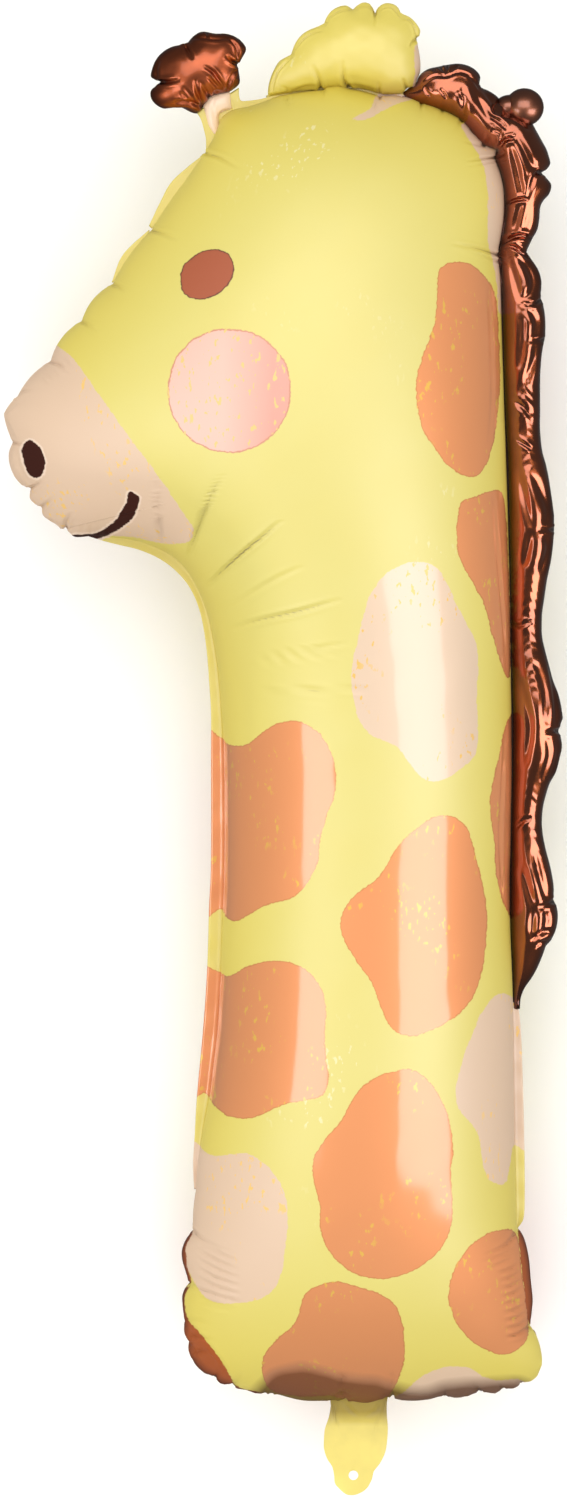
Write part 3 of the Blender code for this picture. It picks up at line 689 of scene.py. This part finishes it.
maneCreases = {
    "end": [
        (3.0, 1.4, (447, 64), (447, 70), (447, 76)), (2.0, 1.2, (439, 66), (443, 70), (447, 75)),
        (2.0, 1.2, (457, 66), (452, 70), (447, 75)),
        (3.4, 1.6, (543, 173), (536, 174), (530, 190), (527, 200)),
        (4.6, 1.6, (543, 299), (534, 304), (520, 304)), (3.0, 1.5, (546, 339), (539, 341), (528, 341)),
        (4.6, 1.6, (557, 529), (549, 530), (538, 530)), (4.8, 1.8, (562, 731), (554, 731), (544, 733)),
        (4.8, 1.8, (557, 900), (548, 904), (538, 909))],
    "both": [
        (2.2, 1.2, (421, 84), (434, 76), (447, 76), (457, 72), (467, 74), (475, 82), (481, 92)),
        (1.4, 1.1, (424, 87), (427, 92), (431, 96)), (1.6, 1.1, (440, 89), (444, 94), (447, 99)),
        (1.6, 1.1, (456, 92), (460, 94), (463, 99)), (1.5, 2.8, (462, 86), (464, 102), (462, 118)),
        (1.5, 3.2, (472, 86), (482, 104), (494, 126)), (2.2, 2.8, (482, 89), (491, 100), (499, 116)),
        (2.0, 2.6, (499, 99), (497, 107), (495, 115)), (3.2, 1.6, (490, 116), (500, 122), (506, 130)),
        (2.8, 1.4, (492, 130), (500, 132), (502, 144)),
        (2.4, 3.2, (500, 114), (512, 114), (522, 119), (532, 131)),
        (3.2, 1.6, (499, 148), (505, 140), (515, 138)),
        (1.9, 3.2, (515, 134), (524, 150), (532, 166), (541, 173)),
        (1.9, 3.0, (511, 145), (516, 165), (520, 184), (523, 200)),
        (3.6, 1.4, (506, 204), (516, 200), (528, 199)), (2.0, 3.2, (522, 202), (517, 218), (514, 235)),
        (1.2, 3.2, (530, 204), (527, 220), (522, 236)),
        (4.6, 1.9, (499, 246), (511, 238), (522, 236), (533, 240)),
        (3.4, 1.6, (501, 249), (511, 246), (522, 252), (529, 260)),
        (2.0, 3.6, (507, 250), (513, 275), (521, 302)),
        (2.2, 3.2, (517, 257), (528, 268), (533, 285), (523, 303)),
        (1.5, 3.6, (522, 304), (523, 335), (519, 370)), (1.9, 3.2, (525, 305), (536, 320), (533, 340)),
        (1.5, 3.2, (534, 342), (534, 358), (525, 385)), (1.9, 2.6, (513, 400), (522, 406), (532, 416)),
        (2.2, 1.3, (515, 439), (524, 444), (532, 449)), (1.7, 3.6, (518, 468), (524, 495), (531, 528)),
        (1.7, 3.6, (531, 470), (542, 492), (548, 512), (543, 530)),
        (1.7, 3.6, (531, 531), (528, 548), (523, 568)), (1.9, 3.2, (545, 534), (548, 550), (540, 573)),
        (2.8, 1.4, (511, 622), (518, 626), (526, 623), (533, 621)),
        (1.7, 3.6, (519, 678), (526, 705), (530, 730), (525, 768)),
        (1.9, 3.2, (536, 662), (545, 690), (546, 724)), (1.7, 2.4, (549, 664), (555, 700), (556, 728)),
        (1.9, 3.2, (547, 736), (550, 756), (542, 782)), (1.5, 2.4, (556, 738), (557, 756), (549, 781)),
        (2.8, 1.4, (515, 828), (523, 821), (532, 817)), (1.7, 3.6, (522, 866), (528, 888), (534, 910)),
        (2.0, 3.2, (534, 848), (541, 880), (547, 902)), (2.0, 3.2, (534, 909), (532, 925), (533, 940)),
        (2.2, 2.8, (545, 908), (547, 922), (541, 937)), (4.0, 1.7, (531, 941), (542, 933), (554, 930)),
        (2.4, 1.4, (535, 948), (541, 942), (548, 944))],
}


# Film
def filmSide(x, y, height, side, creases, crumple):
    # one sheet of a chamber: its height to one side, then creases and crumples along its normal,
    # both faded out by the height over the weld
    points = placed(x, y, side * height)
    seenX, seenY = seenFromAbove(points)
    push = folded(seenX, seenY, creases) * np.clip(height / 7, 0, 1)
    push += crumple(seenX, seenY, side) * np.clip(height / 12, 0, 1)
    return points + facing(points, side) * (push * sheet["unit"])[..., None]


def restOnFloor(points, soft=0.0012):
    # the film gives where it lies: what would go below the floor comes up to it, with a soft turn
    z = points[..., 2]
    points[..., 2] = np.where(z < soft, soft * np.exp(np.minimum(z / soft - 1, 0)), z)
    return points


def bodyCrumple(x, y, side):
    return 0.13 * rippled(x, y, 11 + side, 46)


def smallCrumple(x, y, side):
    return 0.3 * rippled(x, y, 31 + side, 20)


def hornCrumple(x, y, side):
    return 0.2 * crumpled(x, y, 41 + side, 24, 0.9, 1.0, 4) + 0.25 * rippled(x, y, 44, 18)


def maneCrumple(x, y, side):
    # slanting facets that lean away from the tube's axis feather its narrow stretches, faded by a
    # bell along and across each, and a soft ripple runs over the whole
    down, axis = np.array(mane["axis"]).T
    off = x - np.interp(y, down, axis)
    feathered = sum(strength * np.exp(-((y - middle) / reach)**2)
                    for middle, reach, strength in mane["feathered"])
    slant = crumpled(x, y - 0.9 * np.abs(off), 63 + side, 7.5, 1.57, 0.2, 3)
    feather = 0.6 * np.minimum(feathered, 1.1) * slant * np.exp(-((off - 1) / 8)**2)
    return 0.7 * feather + 0.3 * rippled(x, y, 66, 44)


def chamberMesh(name, piece, creases, crumple, deepen=1.0, shapes=None):
    # front and back sheet over one outline, closed round as a tube of columns
    x, y = chamberGrid(piece)
    height = inflated(x, y) * deepen
    front = filmSide(x, y, height, 1, creases, crumple)
    back = filmSide(x, y, height, -1, creases, crumple)
    return gridMesh(name, np.concatenate([front, back[:, -2:0:-1]], axis=1), shapes, True, creases)


lobes = [((524, 107.5), (19.5, 19), 17), ((510, 107), (16, 12), 12)]    # centre, radii and depth


def lobeMesh(name, centre, radii, depth):
    # a squashed ball: circles of latitude whose radius is the cosine and whose height is the sine
    turn = np.linspace(0, 2 * np.pi, 48, endpoint=False)[None, :]
    up = np.linspace(np.pi / 2, -np.pi / 2, 30)[:, None]
    x = centre[0] + radii[0] * np.cos(up) * np.cos(turn)
    y = centre[1] - radii[1] * np.cos(up) * np.sin(turn)
    return gridMesh(name, placed(x, y, depth * np.sin(up)), closed=True)


# Rims: the two films welded flat, outside a chamber or in the valley between two of them. Inner
# edge, outer edge, and how much the outer edge waves
printedRims = [
    ([(207, 154), (190, 178), (170, 207), (152, 229)],
     [(206, 153), (188, 167), (171, 183), (160, 203), (149, 226)], 0.4),
    ([(150, 231), (132, 256), (113, 283)],
     [(149, 230), (130, 247), (120, 260), (112, 282)], 0.4),
    ([(88, 534), (110, 535), (128, 537), (145, 541), (160, 547), (172, 554), (184, 565), (196, 582),
      (207, 608), (214, 638), (219, 670), (222, 705), (224, 740), (225, 790), (225, 860), (224, 908),
      (222, 971), (218, 1030), (214, 1065), (210, 1097), (204, 1128), (200, 1155), (198, 1190)],
     [(88, 536), (104, 541), (120, 545), (140, 550), (160, 559), (176, 571), (190, 588), (200, 612),
      (206, 645), (209, 680), (211, 714), (211, 760), (211, 860), (209, 908), (207, 971), (203, 1030),
      (197, 1095), (194.5, 1137), (193, 1165), (194, 1190)], 0.9),
    ([(512, 1000), (513, 1080), (514, 1150), (516, 1229)],
     [(518, 1003), (521, 1030), (523, 1080), (524.5, 1140), (525, 1190), (524, 1218), (518, 1229)], 1.0),
    ([(208, 104), (211, 120), (217, 132), (214, 144), (210, 154)],
     [(197, 113), (201, 120), (204, 130), (206, 140), (206, 153)], 0.5),
    ([(212, 106), (214, 120), (215, 136)], [(235, 107), (231, 117), (221, 132)], 0.1),
    ([(226, 96), (231, 106), (234, 113), (248, 110), (265, 105), (284, 100)],
     [(239, 88), (239, 95), (241, 101), (248, 101), (262, 99), (280, 94)], 0.5),
    ([(268, 104), (285, 99), (300, 96), (325, 93), (350, 93), (381, 101), (400, 101), (418, 105)],
     [(266, 96), (285, 90), (300, 87), (325, 84), (350, 83), (381, 90), (398, 91), (410, 92)], 0.2),
]
# the valley strip lies at the weld, where the mane foil's painted shade turns it almost black
copperRims = [
    ([(401, 97), (420, 108), (449, 118), (468, 135), (483, 150), (494, 155), (498, 180), (500, 200),
      (498, 235), (493, 256), (497, 300), (499, 360), (503, 450), (505, 560), (507, 680), (508, 800),
      (507, 900), (508, 975), (510, 1009)],
     [(405, 91), (424, 100), (455, 113), (475, 128), (488, 143), (501, 149), (506, 175), (509, 200),
      (507, 238), (502, 257), (506, 300), (508, 360), (512, 450), (514, 560), (516, 680), (517, 800),
      (516, 900), (517, 975), (519, 1009)], 0.2),
]


def rimMesh(name, inner, outer, wavy, seed, shapes):
    # a flat profile carried between two edges: out over the top, round the edge and back
    # underneath. A weld bead runs near the inner edge, and the film ripples to the outer one
    inner, outer = throughPoints(inner, 2), throughPoints(outer, 2)
    count = max(len(inner), len(outer))
    a = pointAt(inner, np.linspace(0, runLength(inner)[-1], count))
    b = pointAt(outer, np.linspace(0, runLength(outer)[-1], count))
    share = np.linspace(0, 1, 8)
    side = np.repeat([1, -1], len(share))[None, :]
    share = np.concatenate([share, share[::-1]])[None, :]
    x = a[:, :1] * (1 - share) + b[:, :1] * share
    y = a[:, 1:] * (1 - share) + b[:, 1:] * share
    bead = 0.9 * np.exp(-((share - 0.14) / 0.1)**2)
    ends = np.minimum(1, np.minimum(np.arange(count), np.arange(count)[::-1]) / 2)[:, None]
    height = side * ends * (0.35 * (1 - 0.6 * share) + bead) + wavy * share * rippled(x * 0.3, y, seed, 23)
    points = placed(x, y, height)
    (ax, ay), (bx, by) = a[1] - a[0], b[1] - a[1]
    return gridMesh(name, points if ax * by < ay * bx else points[::-1], shapes, closed=True)


# Filling sleeve: flat film round its punched hole, still puffed where it leaves the body
sleeve = {
    "centre": (353.5, 1477), "holeRadius": 4.8, "rings": 48, "turns": 160,
    "outline": [(331, 1390), (331, 1405), (329, 1418), (325, 1430), (324, 1440), (324, 1450),
                (327, 1460), (332, 1468), (334, 1476), (335, 1485), (340, 1491), (346, 1496), (353, 1497),
                (360, 1495), (367, 1490), (372, 1481), (374, 1473), (380, 1465), (385, 1455), (387, 1445),
                (388, 1430), (387, 1415), (387, 1403), (388, 1390), (360, 1386)],
    "puff": 12, "foldLine": 1425,
    "wrinkles": {"both": [(2.0, 1.4, (345, 1402), (350, 1410), (358, 1418)),
                          (2.2, 1.4, (385, 1398), (378, 1410), (366, 1418)),
                          (2.4, 1.6, (333, 1396), (335, 1408), (332, 1420))]},
}


def sleeveMesh(name):
    # rays from the hole's edge to the outline; the front is puffed by a half circle across and
    # dies away at the fold line, under which the film is flat
    ring = throughPoints(sleeve["outline"], 2, closed=True)
    cx, cy = sleeve["centre"]
    angles = np.arctan2(ring[:, 1] - cy, ring[:, 0] - cx)
    order = np.argsort(angles)
    angles, ring = angles[order], ring[order]
    turn = np.linspace(-np.pi, np.pi, sleeve["turns"], endpoint=False)
    edgeX = np.interp(turn, angles, ring[:, 0], period=2 * np.pi)
    edgeY = np.interp(turn, angles, ring[:, 1], period=2 * np.pi)
    share = np.linspace(0, 1, sleeve["rings"])
    side = np.repeat([1, -1], len(share))[:, None]
    share = np.concatenate([share, share[::-1]])[:, None]
    holeX, holeY = cx + sleeve["holeRadius"] * np.cos(turn), cy + sleeve["holeRadius"] * np.sin(turn)
    x, y = holeX + (edgeX - holeX) * share, holeY + (edgeY - holeY) * share
    middle = np.clip(1 - ((x - 359) / 27)**2, 0, 1)
    puff = sleeve["puff"] * np.sqrt(middle) * np.clip((sleeve["foldLine"] - y) / 30, 0, 1)**0.8
    fold = 1.4 * np.exp(-((y - sleeve["foldLine"] - 0.006 * (x - 360)**2) / 1.8)**2) * middle
    wrinkle = folded(x, y, sleeve["wrinkles"])
    thick = 0.45 * np.clip(6 * (1 - share), 0.35, 1)
    height = side * (thick + np.maximum(puff + wrinkle * (puff > 1) - fold, 0))
    height = height + 0.9 * rippled(x, y, 21, 38) * share * (y > 1420)
    points = placed(x, y, height)[::-1]
    return gridMesh(name, np.concatenate([points, points[:1]]), closed=True)


# Materials
def linear(red, green, blue, share=1.0):
    # a screen colour of 0 to 255 as the light it stands for
    c = np.array([red, green, blue]) / 255
    return (*(share * np.where(c < 0.04045, c / 12.92, ((c + 0.055) / 1.055)**2.4)), 1.0)


class NodeBoard:
    # short ways to add nodes to one material
    def __init__(self, name):
        self.material = bpy.data.materials.new(name)
        self.material.use_nodes = True
        self.nodes = self.material.node_tree.nodes
        self.links = self.material.node_tree.links
        self.shader = self.nodes["Principled BSDF"]

    def put(self, socket, value):
        if isinstance(value, bpy.types.NodeSocket):
            self.links.new(value, socket)
        else:
            socket.default_value = value

    def add(self, kind, settings=None, inputs=None):
        node = self.nodes.new(kind)
        for key, value in (settings or {}).items():
            setattr(node, key, value)
        for key, value in (inputs or {}).items():
            self.put(node.inputs[key], value)
        return node

    def field(self, name):
        return self.add("ShaderNodeAttribute", {"attribute_name": name}).outputs["Fac"]

    def step(self, value, low, high, start=0.0, end=1.0):
        node = self.add("ShaderNodeMapRange", {"clamp": True}, {
            "Value": value, "From Min": low, "From Max": high, "To Min": start, "To Max": end})
        return node.outputs["Result"]

    def math(self, kind, a, b=0.0):
        return self.add("ShaderNodeMath", {"operation": kind}, {0: a, 1: b}).outputs[0]

    def highest(self, value, *others):
        for other in others:
            value = self.math("MAXIMUM", value, other)
        return value

    def mix(self, share, a, b):
        return self.add("ShaderNodeMix", {"data_type": "RGBA"}, {0: share, 6: a, 7: b}).outputs[2]

    def place(self, axis):
        whole = self.add("ShaderNodeTexCoord").outputs["Object"]
        return self.add("ShaderNodeSeparateXYZ", None, {0: whole}).outputs[axis]

    def rise(self):
        # height over the plane of the weld
        tilted = self.math("MULTIPLY", self.place("Y"), math.tan(sheet["slope"]))
        return self.math("SUBTRACT", self.math("SUBTRACT", self.place("Z"), tilted), sheet["seamHeight"])

    def noise(self, scale, detail=2.0, stretch=(1, 1, 1)):
        place = self.add("ShaderNodeTexCoord").outputs["Object"]
        place = self.add("ShaderNodeMapping", None, {"Vector": place, "Scale": stretch}).outputs[0]
        settings = {"Vector": place, "Scale": scale, "Detail": detail}
        return self.add("ShaderNodeTexNoise", None, settings).outputs[0]

    def bump(self, height, strength, distance):
        settings = {"Height": height, "Strength": strength, "Distance": distance}
        self.put(self.shader.inputs["Normal"], self.add("ShaderNodeBump", None, settings).outputs[0])

    def finish(self, **values):
        for key, value in values.items():
            self.put(self.shader.inputs[key.replace("_", " ")], value)
        return self.material


inks = {
    "yellow": (229, 214, 97), "yellowDeepToneAndShade": (231, 210, 72), "copper": (250, 166, 108),
    "copperLine": (206, 122, 70), "cream": (238, 208, 176), "beige": (230, 195, 160),
    "brown": (170, 86, 38), "cheek": (246, 190, 166), "cheekSide": (244, 156, 130),
    "cheekLine": (216, 130, 84), "eye": (188, 90, 42), "eyeRim": (110, 48, 28), "ink": (64, 24, 12),
    "halo": (244, 214, 186), "gold": (250, 200, 92), "glint": (248, 240, 190),
}
film = {
    "inkShare": 0.8,                # of each ink's colour that the film gives back
    "waver": 0.6,                   # sheet units that a printed edge wavers by
    "sideShadeRise": (0.085, 0.03),      # metres over the weld between which the yellow deepens, painted shade down the chamber's sides
    "brownShadeRise": (0.02, 0.002),     # and between which the brown turns almost black, painted shade down at the weld
    "cheekSheenTurn": (-0.036, -0.006),  # metres across between which the cheek turns rosier, out of a painted sheen on its left
    "flakes": (330, 0.62, 0.65),    # scale of the noise, and where in it they start and are full
    "flakePlaces": (24, 0.5, 0.57),
    "glintPlaces": (9, 0.6, 0.7),
    "creaseShadeDepth": (1.3, 3.4),      # sheet units of crease depth between which painted shade darkens the crease
    "metal": 0.4, "roughness": 0.55, "coatRoughness": 0.11,
}


def printedFilm(name):
    # satin yellow film with printed shapes, whose edges waver. The copper and cream shapes are bare
    # metal under a clear coat, so they mirror the lights and the yellow only shines softly
    board = NodeBoard(name)
    ink = {key: linear(*value, film["inkShare"]) for key, value in inks.items()}
    waver = board.step(board.noise(420, 3), 0.3, 0.7, -film["waver"], film["waver"])
    inside = {key: board.math("ADD", board.field(key), waver) for key in printShapes}
    cover = {key: board.step(value, -0.45, 0.45) for key, value in inside.items()}
    tone = board.step(board.noise(26, 2), 0.3, 0.7, 0.0, 0.25)
    # the yellow deepens at random, and also as painted shade down the sides towards the weld
    side = board.step(board.rise(), *film["sideShadeRise"])
    colour = board.mix(board.highest(tone, side), ink["yellow"], ink["yellowDeepToneAndShade"])
    for key in ("beige", "cream"):
        colour = board.mix(cover[key], colour, ink[key])
    copperLine = board.step(inside["copper"], 1.2, 0.5, 0.0, 0.55)
    colour = board.mix(cover["copper"], colour, board.mix(copperLine, ink["copper"], ink["copperLine"]))
    cheekLine = board.step(inside["cheek"], 1.8, 0.9)
    # painted sheen: the cheek is paler on its left and rosier to the right
    cheek = board.mix(board.step(board.place("X"), *film["cheekSheenTurn"]), ink["cheek"], ink["cheekSide"])
    colour = board.mix(cover["cheek"], colour, board.mix(cheekLine, cheek, ink["cheekLine"]))
    # gold flakes gather in a few places of the shapes and over the cheek, and pale glints on the
    # yellow
    shapes = board.highest(cover["copper"], cover["cream"], cover["cheek"], cover["beige"])
    scale, start, full = film["flakes"]
    flakes = board.step(board.noise(scale, 2, (1, 0.5, 1)), start, full)
    scale, start, full = film["flakePlaces"]
    places = board.highest(board.step(board.noise(scale, 2), start, full), cover["cheek"])
    flakes = board.math("MULTIPLY", flakes, places)
    colour = board.mix(board.math("MULTIPLY", flakes, shapes), colour, ink["gold"])
    scale, start, full = film["glintPlaces"]
    places = board.step(board.noise(scale, 1), start, full, 0.0, 0.5)
    glints = board.math("MULTIPLY", board.math("SUBTRACT", 1.0, shapes), places)
    colour = board.mix(board.math("MULTIPLY", glints, flakes), colour, ink["glint"])
    # painted shade: the brown goes almost black down at the weld
    low = board.step(board.rise(), *film["brownShadeRise"])
    colour = board.mix(cover["brown"], colour, board.mix(low, ink["brown"], linear(74, 30, 14)))
    # painted shade over the column's bottom, which also dulls its gloss
    shade = board.step(board.field("shade"), -2, 11)
    colour = board.mix(board.math("MULTIPLY", shade, 0.85), colour, linear(80, 38, 16))
    # painted shade in the deeper creases
    creaseShade = board.step(board.field("fold"), *film["creaseShadeDepth"], 0.0, 0.85)
    colour = board.mix(creaseShade, colour, linear(104, 78, 26))
    eyeRim = board.step(inside["eye"], 1.6, 0.7)
    colour = board.mix(cover["eye"], colour, board.mix(eyeRim, ink["eye"], ink["eyeRim"]))
    colour = board.mix(board.step(inside["ink"], -2.6, -1.6), colour, ink["halo"])
    colour = board.mix(cover["ink"], colour, ink["ink"])
    matt = board.highest(cover["ink"], cover["brown"], shade)
    bare = board.highest(cover["copper"], board.math("MULTIPLY", cover["cream"], 0.5),
                         board.math("MULTIPLY", cover["eye"], 0.4))
    bare = board.math("MULTIPLY", bare, board.math("SUBTRACT", 1.0, matt))
    board.bump(board.noise(160, 3), 0.05, 0.0006)
    return board.finish(
        Base_Color=colour, Metallic=board.step(bare, 0, 1, 0.0, film["metal"]), IOR=2.05,
        Specular_IOR_Level=board.step(board.highest(matt, bare), 0, 1, 0.5, 0.06),
        Roughness=film["roughness"], Coat_Weight=bare, Coat_Roughness=film["coatRoughness"], Coat_IOR=1.62)


foils = {    # colour, roughness, weight of the clear coat, and metres over the weld under which painted shade darkens it
    "maneFoil": ((172, 88, 44), 0.2, 1.0, 0.008),
    "hornFoil": ((186, 98, 60), 0.36, 0.25, 0.009),
    "lobeFoil": ((176, 112, 84), 0.36, 0.5, 0.006),
}


def copperFoil(name):
    # deep copper film: a coloured mirror under a clear coat, with a darker cast in broad places,
    # and painted shade down at the weld, where the tube turns away from the lights
    base, roughness, coat, weldShadeRise = foils[name]
    board = NodeBoard(name)
    cast = board.step(board.noise(38, 3), 0.35, 0.7)
    colour = board.mix(cast, linear(*base), linear(*base, 0.65))
    # painted shade: darker down at the weld
    low = board.step(board.rise(), weldShadeRise, 0.1 * weldShadeRise, 0.0, 0.85)
    colour = board.mix(low, colour, linear(40, 10, 4))
    board.bump(board.noise(300, 3), 0.04, 0.0006)
    return board.finish(Base_Color=colour, Metallic=1.0, Roughness=roughness, Coat_Weight=coat,
                        Coat_Roughness=0.09, Coat_IOR=1.6)


def plainFilm(name, base, shadedAboveFold):
    # satin film of one colour, a little uneven, with a darker colour above the sleeve's fold that is
    # painted shade on its puffed neck
    board = NodeBoard(name)
    cast = board.step(board.noise(70, 3), 0.3, 0.7)
    colour = board.mix(cast, linear(*base), linear(*base, 0.9))
    colour = board.mix(board.step(board.place("Y"), -0.408, -0.399), colour, linear(*shadedAboveFold))
    board.bump(board.noise(220, 3), 0.08, 0.0006)
    return board.finish(Base_Color=colour, Roughness=0.4, IOR=1.7)


def makeBalloon():
    filmPrint = printedFilm("printedFilm")
    x, y = chamberGrid(body)
    height = inflated(x, y)
    print("body inflated to", round(float(height.max()) * sheet["unit"], 4))
    front = filmSide(x, y, height, 1, frontCreases, bodyCrumple)
    back = restOnFloor(filmSide(x[:, ::2], y[:, ::2], height[:, ::2], -1, backCreases, bodyCrumple))
    addPiece("frontFilm", [gridMesh("frontFilm", front, printShapes, creases=frontCreases)], filmPrint)
    addPiece("backFilm", [gridMesh("backFilm", back[:, ::-1], backShapes, creases=backCreases)], filmPrint)
    addPiece("ear", [chamberMesh("ear", ear, earCreases, smallCrumple, shapes=earShapes)], filmPrint)
    addPiece("hornBulb", [chamberMesh("hornBulb", horn, hornCreases, hornCrumple, 0.95)],
             copperFoil("hornFoil"))
    addPiece("hornStem", [chamberMesh("hornStem", stem, stemCreases, smallCrumple, 0.8)],
             plainFilm("stemFilm", (236, 206, 176), (236, 206, 176)))
    addPiece("weldedRim", [rimMesh("rim", *rim, 80 + k, printShapes) for k, rim in enumerate(printedRims)],
             filmPrint)
    addPiece("mane", [chamberMesh("mane", mane, maneCreases, maneCrumple)]
             + [rimMesh("valley", *rim, 90, None) for rim in copperRims], copperFoil("maneFoil"))
    addPiece("maneLobe", [lobeMesh("lobe", *lobe) for lobe in lobes], copperFoil("lobeFoil"))
    # the sleeve's second colour is painted shade above its fold
    addPiece("fillingSleeve", [sleeveMesh("fillingSleeve")],
             plainFilm("sleeveFilm", (230, 210, 104), (166, 142, 50)))


# Floor, lights and camera
studio = {
    "floorSize": 14.0, "floorColour": (250, 250, 250), "sheenTint": (1.0, 0.95, 0.99),
    "world": (0.14, 0.72),    # the room's brightness in the foil's mirror, and as light on the film
    # soft boxes: degrees from straight up (left is negative), distance, width across, length along,
    # place along, brightness, and whether it is for the sheen of the film or for its light
    "boxes": [(-39, 1.15, 0.56, 0.46, -0.11, 4.5, "sheen"),
              (46, 1.15, 0.84, 0.61, -0.16, 4.5, "sheen"),
              (0, 1.5, 1.8, 1.1, 0.85, 2.6, "sheen"),
              (0, 1.5, 1.1, 0.9, 0.95, 2.9, "light"),
              (0, 3.0, 4.4, 4.6, 0.25, 0.65, "light"),
              (-64, 2.4, 1.8, 3.6, 0.10, 1.1, "light"),
              (64, 2.4, 1.8, 3.6, 0.10, 0.7, "light"),
              (0, 1.4, 1.2, 0.9, -1.25, 2.5, "light")],
}


def makeFloor():
    half = studio["floorSize"] / 2
    mesh = bpy.data.meshes.new("floor")
    corners = [(-half, -half, 0), (half, -half, 0), (half, half, 0), (-half, half, 0)]
    mesh.from_pydata(corners, [], [(0, 1, 2, 3)])
    floor = bpy.data.objects.new("floor", mesh)
    bpy.context.scene.collection.objects.link(floor)
    floor.visible_glossy = False    # the surroundings that the foil mirrors are dim
    mesh.materials.append(NodeBoard("paleFloor").finish(
        Base_Color=linear(*studio["floorColour"]), Roughness=0.8, Specular_IOR_Level=0.1))


def makeLights():
    world = bpy.data.worlds.new("studio")
    bpy.context.scene.world = world
    world.use_nodes = True
    world.node_tree.nodes["Background"].inputs["Color"].default_value = (1, 1, 1, 1)
    nodes, links = world.node_tree.nodes, world.node_tree.links
    strength = nodes.new("ShaderNodeMapRange")
    strength.inputs["To Min"].default_value, strength.inputs["To Max"].default_value = studio["world"]
    links.new(nodes.new("ShaderNodeLightPath").outputs["Is Diffuse Ray"], strength.inputs["Value"])
    links.new(strength.outputs["Result"], nodes["Background"].inputs["Strength"])
    for k, (lean, distance, width, length, along, brightness, use) in enumerate(studio["boxes"]):
        lamp = bpy.data.lights.new("softBox%d" % k, "AREA")
        lamp.shape = "RECTANGLE"
        lamp.size, lamp.size_y = width, length
        lamp.energy = brightness * math.pi * width * length
        lamp.color = studio["sheenTint"] if use == "sheen" else (1, 1, 1)
        holder = bpy.data.objects.new("softBox%d" % k, lamp)
        lean = math.radians(lean)
        holder.location = (distance * math.sin(lean) + 0.05, along, distance * math.cos(lean) + 0.1)
        holder.rotation_euler = (0, lean, 0)
        holder.visible_glossy = use != "light"
        holder.visible_diffuse = use != "sheen"
        bpy.context.scene.collection.objects.link(holder)


def makeCamera():
    camera = bpy.data.objects.new("camera", bpy.data.cameras.new("camera"))
    unit, (width, height) = sheet["unit"], sheet["frameSize"]
    camera.data.sensor_fit = "VERTICAL"
    camera.data.sensor_height = 36
    camera.data.lens = 36 * sheet["cameraDistance"] / (height * unit)
    camera.data.clip_end = 60
    camera.location = ((width / 2 - sheet["middle"][0]) * unit, (sheet["middle"][1] - height / 2) * unit,
                       sheet["seamHeight"] + sheet["cameraDistance"])
    bpy.context.scene.collection.objects.link(camera)
    bpy.context.scene.camera = camera
    bpy.context.scene.view_settings.view_transform = "Standard"


makeBalloon()
makeFloor()
makeLights()
makeCamera()
print("floor, lights and camera are up")
